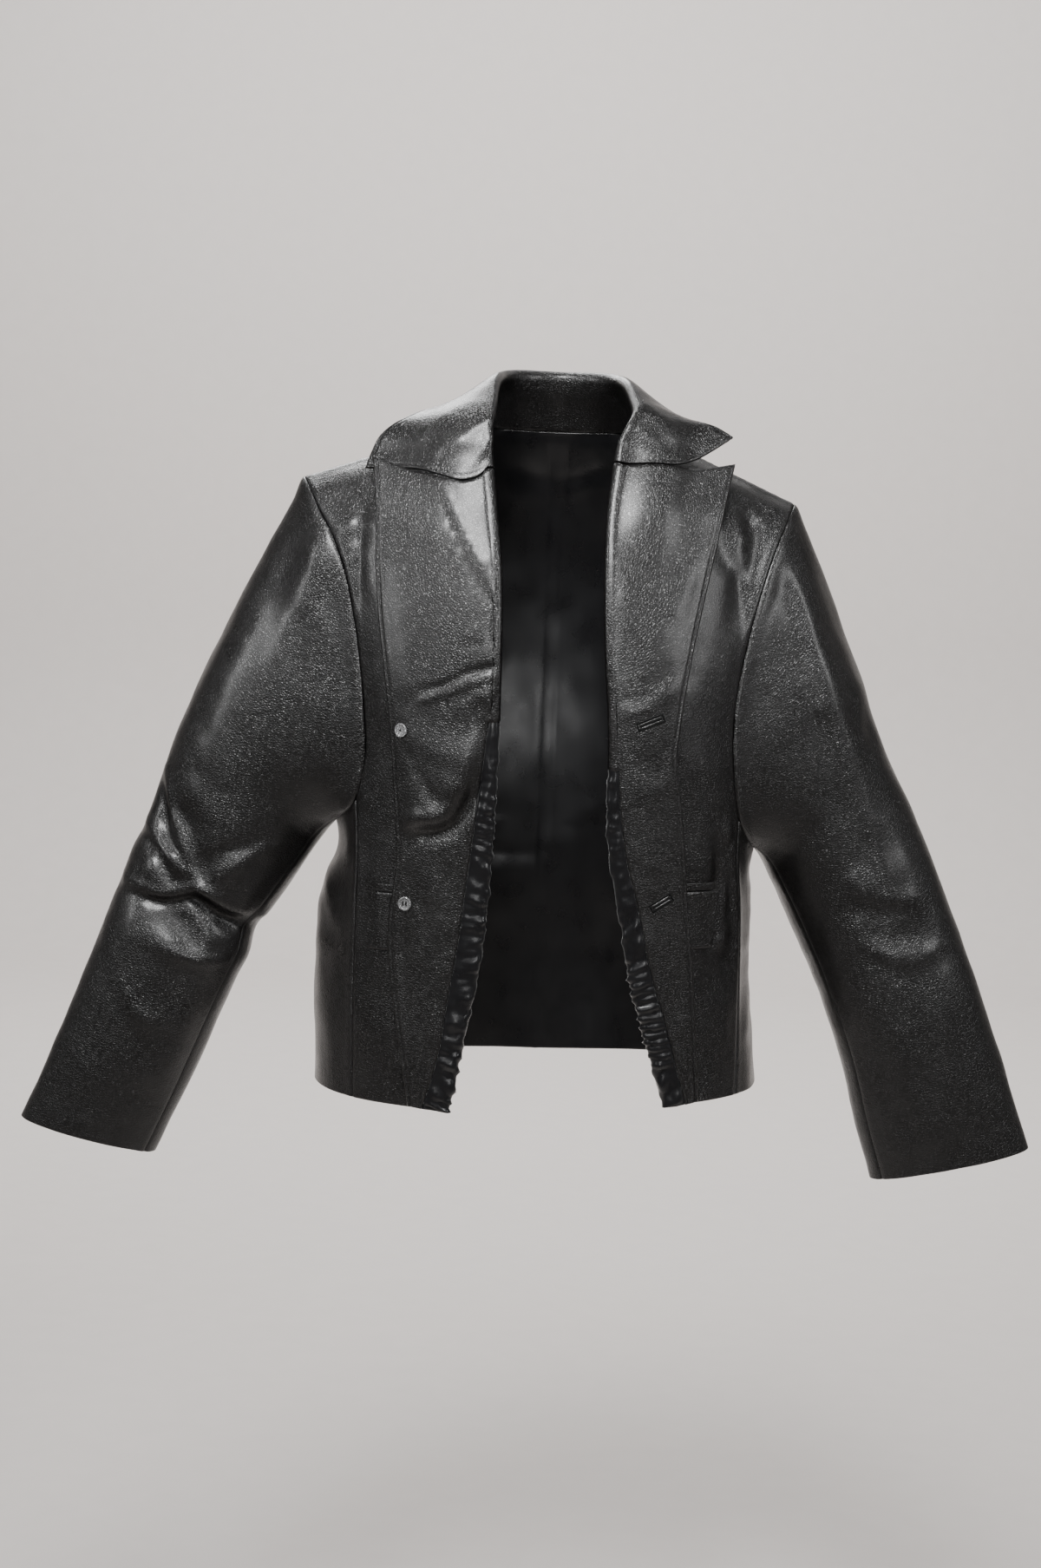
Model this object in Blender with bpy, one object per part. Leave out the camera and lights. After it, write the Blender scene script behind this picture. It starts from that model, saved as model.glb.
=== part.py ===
"""A man's faux leather blazer, worn open with both fronts turned back. Metres, +Z up, the front faces -Y.

Every piece of cloth is a sheet: a grid of points on its middle surface, given a thickness at the end. The
body's rows are superellipse arcs through the panels' own edges (fold line, seams, hem, armhole, shoulder seam),
and what lies on a panel is made from that panel's points, moved out. Right and left are the wearer's: right is
-X. The origin is at the height of the neck points of the shoulder seams, on the centre line.
"""

import math

import bpy
import numpy as np

MM = 0.001

# Cloth, in millimetres
SHELL_THICK = 1.6
FACING_THICK = 1.2
LINING_THICK = 1.0
COLLAR_THICK = 1.3
FLAP_THICK = 2.0
WELT_THICK = 1.8
SEAM_GAP = 0.3
ARMHOLE_GAP = 0.7  # where sleeve and side panel meet at a narrow angle under the arm
CORNER_CUT = 3  # how many times wider a seam is where it ends at the armhole
LAYER_GAP = 0.4
POCKET_GAP = 0.6  # under welt and flap, whose grid is not the panel's
BEND_RADIUS = 3.6  # where a front turns back, on the middle of the shell

# How finely each sheet is divided
SEAM_ROWS = 11
ARM_ROWS_LOW = 6
ARM_ROWS_HIGH = 3
ARM_ROWS = ARM_ROWS_LOW + ARM_ROWS_HIGH
FRONT_COLUMNS = 9
BEND_COLUMNS = 3
SIDE_COLUMNS = 6
NECK_COLUMNS = 6
SLEEVE_ROWS = 24
COLLAR_ROWS = 26

OUTER_COLUMNS = 3  # of a turned-back front, from its edge to the column of the notch
TURNED_COLUMNS = OUTER_COLUMNS + 3  # and on to the lining's seam
NOTCH_SHARE = 0.45  # where the notch lies between the fold and the peak

RING_EXPONENT = 2.4  # of the body's rows seen from above

# Shoulder seam and neck
NECK_POINT = (85, 0, 0)
BACK_NECK = (0, 70, -3)
CENTRE_BACK = [
    # x, y, z from the hem up
    (0, 138, -660), (0, 133, -560), (0, 120, -450), (0, 119, -360), (0, 124, -260), (0, 121, -170),
    (0, 108, -90), (0, 90, -32), BACK_NECK,
]

# Columns are x outwards from the centre line, y and z, from the hem upwards, unless a comment says otherwise.
SIDES = {
    "right": {
        "sign": -1,
        # half width of the body (x) at a height (z)
        "body_width": [(-667, 224), (-561, 228), (-489, 227), (-431, 221), (-371, 213)],
        # the line about which the front turns back, up to the gorge, then the front neckline
        "fold": [
            (88, -136, -668), (75, -139, -591), (64, -139, -522), (57, -140, -450), (54, -143, -369),
            (53, -144, -302), (53, -143, -244), (54, -132, -180), (57, -116, -128), (65, -90, -70),
            (67, -80, -50),
        ],
        "neckline": [(67, -80, -50), (77, -50, -28), (83, -22, -8), NECK_POINT],
        # seams: x and z; their y lies on the body
        "front_seam": [(181, -667), (184, -560), (184, -470), (184, -415), (187, -371)],
        "back_seam": [(165, -662), (168, -560), (173, -470), (181, -415), (192, -367)],
        # armhole: from above the front seam to the shoulder tip, then under the arm, then from above the back
        # seam to the tip
        "armhole_front": [
            (180, -89, -340), (179, -90, -315), (183, -88, -270), (189, -82, -225), (197, -74, -183),
            (207, -65, -146), (218, -55, -118), (235, -37, -90), (248, -16, -66), (253, 0, -58),
        ],
        "armhole_under": [(198, -64, -384), (207, -34, -393), (212, 0, -396), (209, 34, -388)],
        "armhole_back": [
            (187, 80, -325), (184, 88, -270), (187, 88, -215), (196, 80, -165), (211, 66, -120), (232, 44, -84),
            (246, 20, -64), (253, 0, -58),
        ],
        # outer edge of the turned-back part as seen from the front: x and z, hem to peak
        "lapel_edge": [
            (124, -664), (139, -577), (148, -509), (148, -475), (143, -433), (144, -390), (148, -348),
            (152, -307), (157, -265), (165, -215), (173, -149), (175, -100), (182, -36),
        ],
        "gorge_dip": 0.030,
        "roll_crest": 1.5,
        # how far the turned-back part's edge stands off the forepart, by height from hem (0) to peak (1)
        "edge_lift": [(0, 10), (0.3, 11), (0.55, 12), (0.8, 10), (0.9, 14), (1, 26)],
        # where facing and lining meet, from the bend's crest over the front, by height from hem to gorge
        "lining_seam": [(0, 27), (0.08, 22), (0.2, 25), (0.35, 24), (0.45, 20), (0.55, 14), (0.66, 9), (1, 14)],
        "lining_top_row": 12,
        # pocket flap: x and z of its upper outer corner, x of its lower one
        "flap": (161, -458, 169),
        # the collar's free end past the notch: how far out, back and up it stands from the top of the facing
        "collar_end": [(0, 4.5, 2.5), (3, 8.5, -4), (8, 11, -13)],
        # collar: from the front end to the centre back, the neck seam, the roll and the outer edge
        "collar": [
            ((66, -84, -46), (68, -100, -40), (188, -62, -52)),
            ((72, -66, -26), (70, -84, -8), (176, -44, -18)),
            ((78, -36, -6), (66, -46, 24), (142, -18, 8)),
            ((82, -4, 5), (64, -10, 46), (114, 4, 14)),
            ((66, 40, 4), (52, 34, 55), (88, 60, 8)),
            ((0, 67, 2), (0, 60, 57), (0, 99, 2)),
        ],
        # sleeve seen from the front: x and z down its outer and its inner outline
        "sleeve_outer": [
            (253, -58), (272, -97), (293, -139), (318, -190), (344, -245), (373, -316), (390, -361),
            (415, -437), (452, -541), (492, -648), (520, -712),
        ],
        "sleeve_inner": [
            (212, -396), (219, -408), (246, -452), (280, -506), (301, -551), (330, -619), (354, -677),
            (384, -744),
        ],
    },
    "left": {
        "sign": 1,
        "body_width": [(-655, 224), (-581, 216), (-491, 214), (-424, 214), (-378, 212)],
        "fold": [
            (129, -127, -657), (102, -134, -576), (88, -137, -525), (76, -139, -458), (66, -141, -412),
            (62, -143, -357), (62, -144, -307), (56, -143, -240), (52, -131, -174), (51, -115, -125),
            (54, -88, -62), (57, -78, -40),
        ],
        "neckline": [(57, -78, -40), (72, -50, -24), (82, -22, -8), NECK_POINT],
        "front_seam": [(198, -654), (198, -560), (195, -470), (190, -420), (190, -378)],
        "back_seam": [(165, -652), (168, -560), (173, -470), (181, -420), (193, -374)],
        "armhole_front": [
            (184, -88, -345), (181, -90, -318), (181, -88, -270), (187, -83, -226), (196, -75, -185),
            (205, -66, -150), (214, -55, -122), (225, -38, -95), (234, -17, -76), (238, 0, -68),
        ],
        "armhole_under": [(199, -64, -395), (208, -34, -406), (213, 0, -411), (210, 34, -401)],
        "armhole_back": [
            (188, 80, -330), (184, 88, -272), (187, 88, -215), (195, 80, -165), (207, 66, -126), (221, 44, -93),
            (233, 20, -74), (238, 0, -68),
        ],
        "lapel_edge": [
            (158, -652), (153, -592), (148, -532), (139, -456), (136, -422), (129, -363), (122, -313),
            (129, -254), (136, -204), (147, -154), (157, -104), (165, -66), (173, -32),
        ],
        "gorge_dip": 0.008,
        "roll_crest": 9,
        "edge_lift": [(0, 10), (0.3, 11), (0.55, 12), (0.8, 10), (0.9, 14), (1, 30)],
        "lining_seam": [(0, 20), (0.08, 24), (0.15, 25), (0.3, 20), (0.42, 16), (0.52, 10), (0.6, 9), (1, 14)],
        "lining_top_row": 11,
        "flap": (172, -446, 167),
        "collar_end": [(0, 2, 8), (-1, 4, 17), (-3, 7, 26)],
        "collar": [
            ((58, -80, -36), (88, -104, -28), (170, -60, -6)),
            ((64, -66, -20), (82, -84, 2), (154, -42, 4)),
            ((74, -36, -4), (74, -46, 26), (130, -18, 10)),
            ((81, -4, 5), (66, -10, 46), (110, 4, 15)),
            ((66, 40, 4), (52, 34, 55), (88, 60, 8)),
            ((0, 67, 2), (0, 60, 57), (0, 99, 2)),
        ],
        "sleeve_outer": [
            (238, -68), (256, -110), (280, -161), (300, -208), (320, -256), (345, -322), (369, -368),
            (395, -425), (419, -482), (459, -588), (502, -708),
        ],
        "sleeve_inner": [
            (213, -411), (220, -424), (241, -465), (262, -508), (280, -548), (310, -627), (326, -687),
            (344, -745),
        ],
    },
}

# Sleeve rings from armhole to cuff: how far along the outer and the inner outline they stand (0 to 1), half
# their depth front to back, and how far their middle lies behind the shoulders.
SLEEVE_RINGS = [
    # outer, inner, half_depth, middle_y
    (0.00, 0.00, 80, 2),
    (0.10, 0.02, 78, 2),
    (0.22, 0.05, 74, 1),
    (0.34, 0.10, 68, -1),
    (0.44, 0.17, 63, -4),
    (0.54, 0.30, 58, -9),
    (0.64, 0.45, 54, -15),
    (0.74, 0.60, 48, -22),
    (0.84, 0.75, 41, -28),
    (0.93, 0.89, 35, -32),
    (1.00, 1.00, 31, -34),
]
SLEEVE_EXPONENT = 2.2
CAP_FADE = 0.3  # share of the sleeve's length over which the armhole's own shape fades out
EVEN_BY = 0.6  # and by which its points are evenly spaced round the ring

# Folds big enough to carve in the solids: two ends seen from the front (x, z), depth (a trough is negative) and
# half width
FOLDS = {
    "sleeve_right": [
        # x_0, z_0, x_1, z_1, depth, half_width
        (-385, -372, -340, -478, -13, 22),
        (-404, -415, -345, -483, -10, 17),
        (-400, -484, -282, -512, -14, 20),
        (-374, -420, -352, -455, 9, 18),
        (-395, -452, -330, -500, 8, 16),
        (-236, -112, -236, -190, 9, 17),
    ],
    "sleeve_left": [
        (295, -275, 345, -300, -5, 18),
        (245, -100, 262, -260, 5, 26),
        (330, -470, 400, -500, -5, 22),
    ],
    "front_right": [
        (-236, -95, -196, -190, -7, 16),
        (-196, -390, -168, -440, -5, 18),
    ],
    "front_left": [
        (196, -75, 178, -180, -8, 16),
        (186, -395, 176, -540, -6, 20),
    ],
    "side_right": [(-205, -420, -212, -560, -6, 22)],
    "side_left": [(206, -440, 200, -600, -7, 22)],
    "back": [
        (-150, -120, -110, -330, -6, 34),
        (140, -140, 105, -350, -6, 34),
        (-60, -640, -72, -430, -6, 36),
        (70, -640, 62, -450, 5, 36),
    ],
}

# Pockets
FLAP_WIDTH = 112
FLAP_DEPTH = 57
WELT_DEPTH = 8
POCKET_COLUMNS = 6

# Buttons: name, height of its middle, how far the stay button is in from the edge, and its sewing holes
BUTTONS = [("upper", -298, 11.5, 1), ("lower", -465, 14, 4)]
BUTTON_INSET = 8
BUTTON_DIAMETER = 22
BUTTON_THICK = 3.4
STAY_DIAMETER = 13.2
STAY_THICK = 2.6
HOLE_DIAMETER = 1.8
HOLE_PITCH = 4.6
BUTTON_SIDES = 20
BUTTON_PROFILE = [
    # share of the radius, share of the thickness
    (0.82, -0.5), (1.0, -0.2), (1.0, 0.28), (0.9, 0.5), (0.76, 0.44), (0.66, 0.2),
]

# Sleeve seams, counted round the armhole from the shoulder tip down the front
FRONT_CUT = ARM_ROWS + 1
HIND_CUT = ARM_ROWS + SIDE_COLUMNS + 3

# Collar: where its columns stand between neck seam (0) and outer edge (1)
COLLAR_PLACES = [0, 0.12, 0.23, 0.33, 0.4, 0.46, 0.54, 0.64, 0.76, 0.88, 1]
ROLL_PLACE = 0.4
NOTCH_COLUMN = OUTER_COLUMNS
GORGE_GAP = 1.1
GORGE_FADE = 0.17  # share of the collar's length over which its front end's shape fades out
NECK_LIFT = 1.7  # the collar's neck edge stands this far above the middle of the shell it is sewn to
NECK_SLANT = 90  # and leans with the shell, inwards, forwards in front and backwards behind


# ---------------------------------------------------------------- curves and sheets


def hermite(a, b, slope_a, slope_b, t):
    """A point between a and b at t from 0 to 1, leaving and arriving with the given slopes."""
    return (
        (2 * t**3 - 3 * t**2 + 1) * a
        + (t**3 - 2 * t**2 + t) * slope_a
        + (3 * t**2 - 2 * t**3) * b
        + (t**3 - t**2) * slope_b
    )


def curve(rows, knots=None):
    """A smooth curve through the rows, as a function of the share of its length, or of the knots given."""
    points = np.array(rows, float)
    if knots is None:
        knots = lengths_of(points)
    slopes = np.gradient(points, knots, axis=0)

    def at(share):
        share = min(max(share, knots[0]), knots[-1])
        i = min(int(np.searchsorted(knots, share, side="right")) - 1, len(knots) - 2)
        width = knots[i + 1] - knots[i]
        t = (share - knots[i]) / width
        return hermite(points[i], points[i + 1], slopes[i] * width, slopes[i + 1] * width, t)

    return at


def lengths_of(points):
    """How far along a line each of its points lies, from 0 to 1."""
    run = np.concatenate([[0], np.cumsum(np.linalg.norm(np.diff(points, axis=0), axis=1))])
    return run / run[-1]


def column(rows, value):
    """The second column of a table at a value of its first."""
    table = np.array(rows, float)
    return float(np.interp(value, table[:, 0], table[:, 1]))


def unit(vector):
    return vector / max(float(np.linalg.norm(vector)), 1e-12)


def mirrored(rows, sign):
    """Rows given outwards from the centre line, put on their own side."""
    return [(sign * row[0], *row[1:]) for row in rows]


def smooth(t):
    t = min(max(t, 0.0), 1.0)
    return t * t * (3 - 2 * t)


class Sheet:
    """A grid of points on the middle of a cloth, rows by columns; points that are not a number are left out."""

    def __init__(self, points, flip=False):
        self.points = np.array(points, float)
        self.valid = ~np.isnan(self.points[..., 0])
        self.flip = flip
        self.shift = np.zeros_like(self.points)
        self.refresh()

    def refresh(self):
        """The normals again, after the points have moved."""
        self.normals = self.face_normals()
        self.lean = self.normals.copy()

    def cells(self):
        rows, columns = self.valid.shape
        for r in range(rows - 1):
            for c in range(columns - 1):
                if self.valid[r : r + 2, c : c + 2].all():
                    yield (r, c), (r, c + 1), (r + 1, c + 1), (r + 1, c)

    def face_normals(self):
        normals = np.zeros_like(self.points)
        for cell in self.cells():
            a, b, c, d = (self.points[p] for p in cell)
            normal = unit(np.cross(c - a, d - b))
            for p in cell:
                normals[p] += normal
        normals /= np.maximum(np.linalg.norm(normals, axis=2, keepdims=True), 1e-12)
        return -normals if self.flip else normals

    def layer(self, height, rows=slice(None), columns=slice(None), keep=None):
        """A sheet made of this one's points moved out by a height; keep is a mask of the points it has."""
        points = self.points[rows, columns] + self.lean[rows, columns] * height
        if keep is not None:
            points[~keep] = np.nan
        return Sheet(points, self.flip)


def edge(sheet, side, start=None, stop=None):
    """The index pairs along one side of a sheet, from start to stop, and the step that leads inwards."""
    rows, columns = sheet.valid.shape
    if side in ("bottom", "top"):
        r, step = (0, (1, 0)) if side == "bottom" else (rows - 1, (-1, 0))
        pairs = [(r, c) for c in range(columns)]
    else:
        c, step = (0, (0, 1)) if side == "first" else (columns - 1, (0, -1))
        pairs = [(r, c) for r in range(rows)]
    return [(sheet, pair, step) for pair in pairs[start:stop]]


def sew(ones, others, tangents=None, gap=SEAM_GAP):
    """Sheets that share an edge, point by point: both draw back from it by half the gap, and their ends lean to
    the plane that halves the angle between them. Each place is a sheet, an index pair and a step inwards, or a
    list of such places where pieces meet."""
    ones = [place if isinstance(place, list) else [place] for place in ones]
    others = [place if isinstance(place, list) else [place] for place in others]
    seam = np.array([places[0][0].points[places[0][1]] for places in ones])
    along = np.gradient(seam, axis=0) if tangents is None else tangents
    for i, sides in enumerate(zip(ones, others)):
        tangent = unit(along[i])
        inwards, outs = [], []
        for places in sides:
            inward, out = np.zeros(3), np.zeros(3)
            for sheet, (r, c), (down, over) in places:
                inward += unit(sheet.points[r + down, c + over] - sheet.points[r, c])
                out += sheet.normals[r, c]
            inward = unit(inward - tangent * (inward @ tangent))
            inwards.append(inward)
            outs.append(unit(out - inward * (out @ inward)))
        across = unit(inwards[0] - inwards[1])
        lean = unit(np.cross(tangent, across))
        if lean @ (outs[0] + outs[1]) < 0:
            lean = -lean
        for places, inward, out in zip(sides, inwards, outs):
            for sheet, pair, _ in places:
                sheet.lean[pair] = lean / max(float(lean @ out), 0.35)
                if len(places) > 1:
                    sheet.shift[pair] *= CORNER_CUT
                sheet.shift[pair] += inward * (gap / 2) / max(abs(float(inward @ across)), 0.25)


def material(name, colour, roughness, metallic=0.0, alpha=1.0):
    made = bpy.data.materials.new(name)
    made.use_nodes = True
    shader = made.node_tree.nodes["Principled BSDF"]
    shader.inputs["Base Color"].default_value = (*colour, 1)
    shader.inputs["Roughness"].default_value = roughness
    shader.inputs["Metallic"].default_value = metallic
    shader.inputs["Alpha"].default_value = alpha
    made.diffuse_color = (*colour, 1)
    return made


def add_object(name, vertices, faces, finish):
    """A named object from points in millimetres."""
    mesh = bpy.data.meshes.new(name)
    mesh.from_pydata([tuple(v * MM) for v in vertices], [], faces)
    mesh.materials.append(finish)
    mesh.shade_smooth()
    mesh.set_sharp_from_angle(angle=math.radians(50))
    made = bpy.data.objects.new(name, mesh)
    bpy.context.scene.collection.objects.link(made)
    return made


def cloth(name, sheet, thick, finish):
    """The sheet as a closed wall: its outside, its inside and a rim along every free edge. Every cell is split
    along the same diagonal, so that layers made from one sheet stay parallel."""
    index = {tuple(p): i for i, p in enumerate(np.argwhere(sheet.valid))}
    middle = np.array([sheet.points[p] + sheet.shift[p] for p in index])
    lean = np.array([sheet.lean[p] for p in index])
    count = len(index)
    faces, rim = [], set()
    for cell in sheet.cells():
        a, b, c, d = (index[p] for p in cell)
        for i, j, k in ((a, b, c), (a, c, d)):
            if sheet.flip:
                i, k = k, i
            faces += [[i, j, k], [k + count, j + count, i + count]]
            for side in ((i, j), (j, k), (k, i)):
                if side[::-1] in rim:
                    rim.remove(side[::-1])
                else:
                    rim.add(side)
    faces += [[j, i, i + count, j + count] for i, j in sorted(rim)]
    vertices = np.concatenate([middle + lean * thick / 2, middle - lean * thick / 2])
    return add_object(name, vertices, faces, finish)


def fold_depth(point, folds):
    """How far the folds move a point out: each is deepest in its middle and fades to its ends and sides."""
    depth = 0.0
    for x_0, z_0, x_1, z_1, height, half_width in folds:
        run = np.array([x_1 - x_0, z_1 - z_0])
        offset = np.array([point[0] - x_0, point[2] - z_0])
        share = min(max(float(offset @ run) / float(run @ run), 0), 1)
        aside = float(np.linalg.norm(offset - run * share)) / half_width
        depth += height * math.sin(math.pi * (0.12 + 0.76 * share)) * math.exp(-1.6 * aside * aside)
    return depth


def press_folds(sheet, folds, first_column=1):
    """Presses the named folds into a sheet along its own normals, clear of its edges."""
    rows, columns = sheet.valid.shape
    moved = sheet.points.copy()
    for r in range(1, rows - 1):
        for c in range(first_column, columns - 1):
            if sheet.valid[r, c]:
                moved[r, c] += sheet.normals[r, c] * fold_depth(sheet.points[r, c], folds)
    sheet.points = moved
    sheet.refresh()


# ---------------------------------------------------------------- the body's panels

SPLIT = 0.46  # share of a panel's height at the top of its side seam
GORGE = 0.87  # and at the gorge


def ring_y(x, across, along):
    """How far from the middle plane a body row is at x; across and along are its two axes to the power -n."""
    return (max(1 - across * abs(x) ** RING_EXPONENT, 0) / along) ** (1 / RING_EXPONENT)


def axis(known, other, other_axis):
    """The axis that makes a row pass a point at the distances known and other; other_axis goes with other."""
    return max(1 - other_axis * abs(other) ** RING_EXPONENT, 1e-9) / max(abs(known), 1e-6) ** RING_EXPONENT


class Body:
    """The jacket's edges and rows on one side."""

    def __init__(self, name):
        self.name = name
        side = self.side = SIDES[name]
        sign = self.sign = side["sign"]
        self.fold = curve(mirrored(side["fold"], sign))
        self.neckline = curve(mirrored(side["neckline"], sign))
        self.centre = curve(CENTRE_BACK)
        self.seams = {part: curve(side[part]) for part in ("front_seam", "back_seam")}
        front_top, back_top = self.seam_point("front_seam", 1), self.seam_point("back_seam", 1)
        self.armhole_front = curve([front_top, *mirrored(side["armhole_front"], sign)])
        self.armhole_under = curve([front_top, *mirrored(side["armhole_under"], sign), back_top])
        self.armhole_back = curve([back_top, *mirrored(side["armhole_back"], sign)])

    def inner_edge(self, v):
        return self.fold(v / GORGE) if v <= GORGE else self.neckline((v - GORGE) / (1 - GORGE))

    def row_axes(self, v, z):
        """The row's axes to the power -n: across, along to the front and along to the back."""
        across = column(self.side["body_width"], z) ** -RING_EXPONENT
        fold_x, fold_y, _ = self.inner_edge(v)
        return across, axis(fold_y, fold_x, across), self.centre(v)[1] ** -RING_EXPONENT

    def seam_point(self, part, share):
        """A point of a side seam: its x and z are given, and it lies on the body's row."""
        x, z = self.seams[part](share)
        across, to_front, to_back = self.row_axes(share * SPLIT, z)
        if part == "front_seam":
            return np.array([self.sign * x, -ring_y(x, across, to_front), z])
        return np.array([self.sign * x, ring_y(x, across, to_back), z])

    def outer_edge(self, part, v):
        """The far edge of a front or back panel: its seam, then the armhole."""
        if v <= SPLIT:
            return self.seam_point(part + "_seam", v / SPLIT)
        armhole = self.armhole_front if part == "front" else self.armhole_back
        return armhole((v - SPLIT) / (1 - SPLIT))


def straightening(v):
    """How far a row has given up the body's round for the straight of the shoulder seam."""
    return smooth((v - 0.72) / 0.28)


def back_shares():
    """The back's rows beside the armhole, closer together towards the shoulder."""
    return 1 - (1 - np.linspace(0, 1, ARM_ROWS + 1)) ** 1.2


class Front(Body):
    """A forepart's surface, and the turned-back part that lies on it."""

    def __init__(self, name):
        super().__init__(name)
        self.edge_curve = curve(mirrored(self.side["lapel_edge"], self.sign))
        self.edge_places = {}

    def at(self, u, v):
        start, end = self.inner_edge(v), self.outer_edge("front", v)
        chord = start + (end - start) * u
        straight = straightening(v) ** 1.6
        if straight >= 1:
            return chord
        power = RING_EXPONENT
        terms = np.abs([start[:2], end[:2]]) ** power
        across, along = np.linalg.solve(terms, np.ones(2))
        y = -ring_y(chord[0], across, along) if across > 0 and along > 0 else chord[1]
        return np.array([chord[0], chord[1] * straight + y * (1 - straight), chord[2]])

    def normal(self, u, v):
        step = 0.004
        u_0, u_1 = max(u - step, 0), min(u + step, 1)
        v_0, v_1 = max(v - step, 0), min(v + step, 1)
        across = self.at(u_1, v) - self.at(u_0, v)
        upwards = self.at(u, v_1) - self.at(u, v_0)
        return unit(np.cross(across, upwards)) * self.sign

    def lifted(self, u, v, lift):
        return self.at(u, v) + self.normal(u, v) * lift

    def place(self, x, z, lift, start):
        """The panel's own (u, v) under a point seen from the front at x and z, lifted off the panel."""
        guess = np.array(start, float)
        step = 1e-3
        for _ in range(12):
            here = self.lifted(*guess, lift)[[0, 2]]
            miss = np.array([x, z]) - here
            if np.abs(miss).max() < 0.02:
                break
            slope_u = (self.lifted(guess[0] + step, guess[1], lift)[[0, 2]] - here) / step
            slope_v = (self.lifted(guess[0], guess[1] + step, lift)[[0, 2]] - here) / step
            change = np.linalg.solve(np.array([slope_u, slope_v]).T, miss)
            guess = np.clip(guess + np.clip(change, -0.15, 0.15), [0.0, 0.0], [0.995, 0.995])
        return guess

    def edge_place(self, v):
        """Where the turned-back part's outer edge lies on the panel, for the row that folds at v."""
        key = round(v, 6)
        if key not in self.edge_places:
            share = v / GORGE
            x, z = self.edge_curve(share)
            self.edge_places[key] = self.place(x, z, column(self.side["edge_lift"], share), (0.6, v))
        return self.edge_places[key]

    def turned(self, v, share):
        """A point on the middle of the turned-back part: share runs from the fold to the outer edge."""
        edge_u, edge_v = self.edge_place(v)
        height = v / GORGE
        near_top = smooth((height - 0.86) / 0.14)
        dip = self.side["gorge_dip"] * near_top * math.sin(math.pi * share**0.8)
        crest = self.side["roll_crest"] * smooth((height - 0.8) / 0.2)
        crest *= math.exp(-(((share - 0.36) / 0.14) ** 2))
        rise = column(self.side["edge_lift"], height) - 2 * BEND_RADIUS
        lift = 2 * BEND_RADIUS + rise * share**1.6 + 2.5 * math.sin(math.pi * share) + crest
        return self.lifted(edge_u * share, v + (edge_v - v) * share - dip, lift)

    def bend(self, v, share):
        """A point on the half circle of the bend: share runs from the turned-back side to the forepart."""
        turn = math.pi * (1 - share)
        base, normal = self.at(0, v), self.normal(0, v)
        outwards = unit(base - self.at(0.02, v))
        return base + normal * BEND_RADIUS * (1 - math.cos(turn)) + outwards * BEND_RADIUS * math.sin(turn)

    def turned_shares(self, v):
        """The turned-back part's columns, outer edge first, down to the lining's seam."""
        width = float(np.linalg.norm(self.turned(v, 1) - self.turned(v, 0)))
        quarter = BEND_RADIUS * math.pi / 2
        seam = (column(self.side["lining_seam"], v / GORGE) - quarter) / width
        notch = max(NOTCH_SHARE, seam + 0.18)
        outer = [notch + (1 - notch) * k / OUTER_COLUMNS for k in range(OUTER_COLUMNS, 0, -1)]
        return [*outer, notch, (notch + seam) / 2, seam]


def front_rows():
    low = np.linspace(0, SPLIT, SEAM_ROWS + 1)
    middle = np.linspace(SPLIT, GORGE, ARM_ROWS_LOW + 1)
    high = np.linspace(GORGE, 1, ARM_ROWS_HIGH + 1)
    return np.concatenate([low, middle[1:], high[1:]])


GORGE_ROW = SEAM_ROWS + ARM_ROWS_LOW
LEAD_COLUMNS = TURNED_COLUMNS + 1 + BEND_COLUMNS  # turned-back part, where the bend starts, and the bend


def front_sheet(front):
    """Turned-back part, bend and forepart in one grid; above the gorge only the forepart goes on."""
    rows = []
    for v in front_rows():
        lead = [np.full(3, np.nan)] * LEAD_COLUMNS
        if v <= GORGE + 1e-9:
            lead = [front.turned(v, share) for share in [*front.turned_shares(v), 0]]
            lead += [front.bend(v, (k + 1) / (BEND_COLUMNS + 1)) for k in range(BEND_COLUMNS)]
        rows.append(lead + [front.at(u, v) for u in np.linspace(0, 1, FRONT_COLUMNS + 1)])
    return Sheet(rows, flip=front.sign < 0)


def side_sheet(body):
    """The side panel: its rows go round the body's widest point and end at the bottom of the armhole."""
    grid = []
    for share in np.linspace(0, 1, SEAM_ROWS + 1):
        start, end = body.seam_point("front_seam", share), body.seam_point("back_seam", share)
        across, to_front, to_back = body.row_axes(share * SPLIT, start[2])
        power = RING_EXPONENT / 2
        first = -math.atan2(abs(start[1]) ** power * to_front**0.5, abs(start[0]) ** power * across**0.5)
        last = math.atan2(abs(end[1]) ** power * to_back**0.5, abs(end[0]) ** power * across**0.5)
        give = smooth((share - 0.62) / 0.38)
        low_start, low_end = body.armhole_under(0), body.armhole_under(1)
        row = []
        for u in np.linspace(0, 1, SIDE_COLUMNS + 1):
            turn = first + (last - first) * u
            x = (math.cos(turn) ** 2 / across) ** (1 / RING_EXPONENT)
            y = (math.sin(turn) ** 2 / (to_front if turn < 0 else to_back)) ** (1 / RING_EXPONENT)
            on_body = np.array([body.sign * x, math.copysign(y, turn), start[2] + (end[2] - start[2]) * u])
            under = body.armhole_under(u) + (start - low_start) * (1 - u) + (end - low_end) * u
            row.append(on_body * (1 - give) + under * give)
        grid.append(row)
    return Sheet(grid, flip=body.sign < 0)


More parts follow.
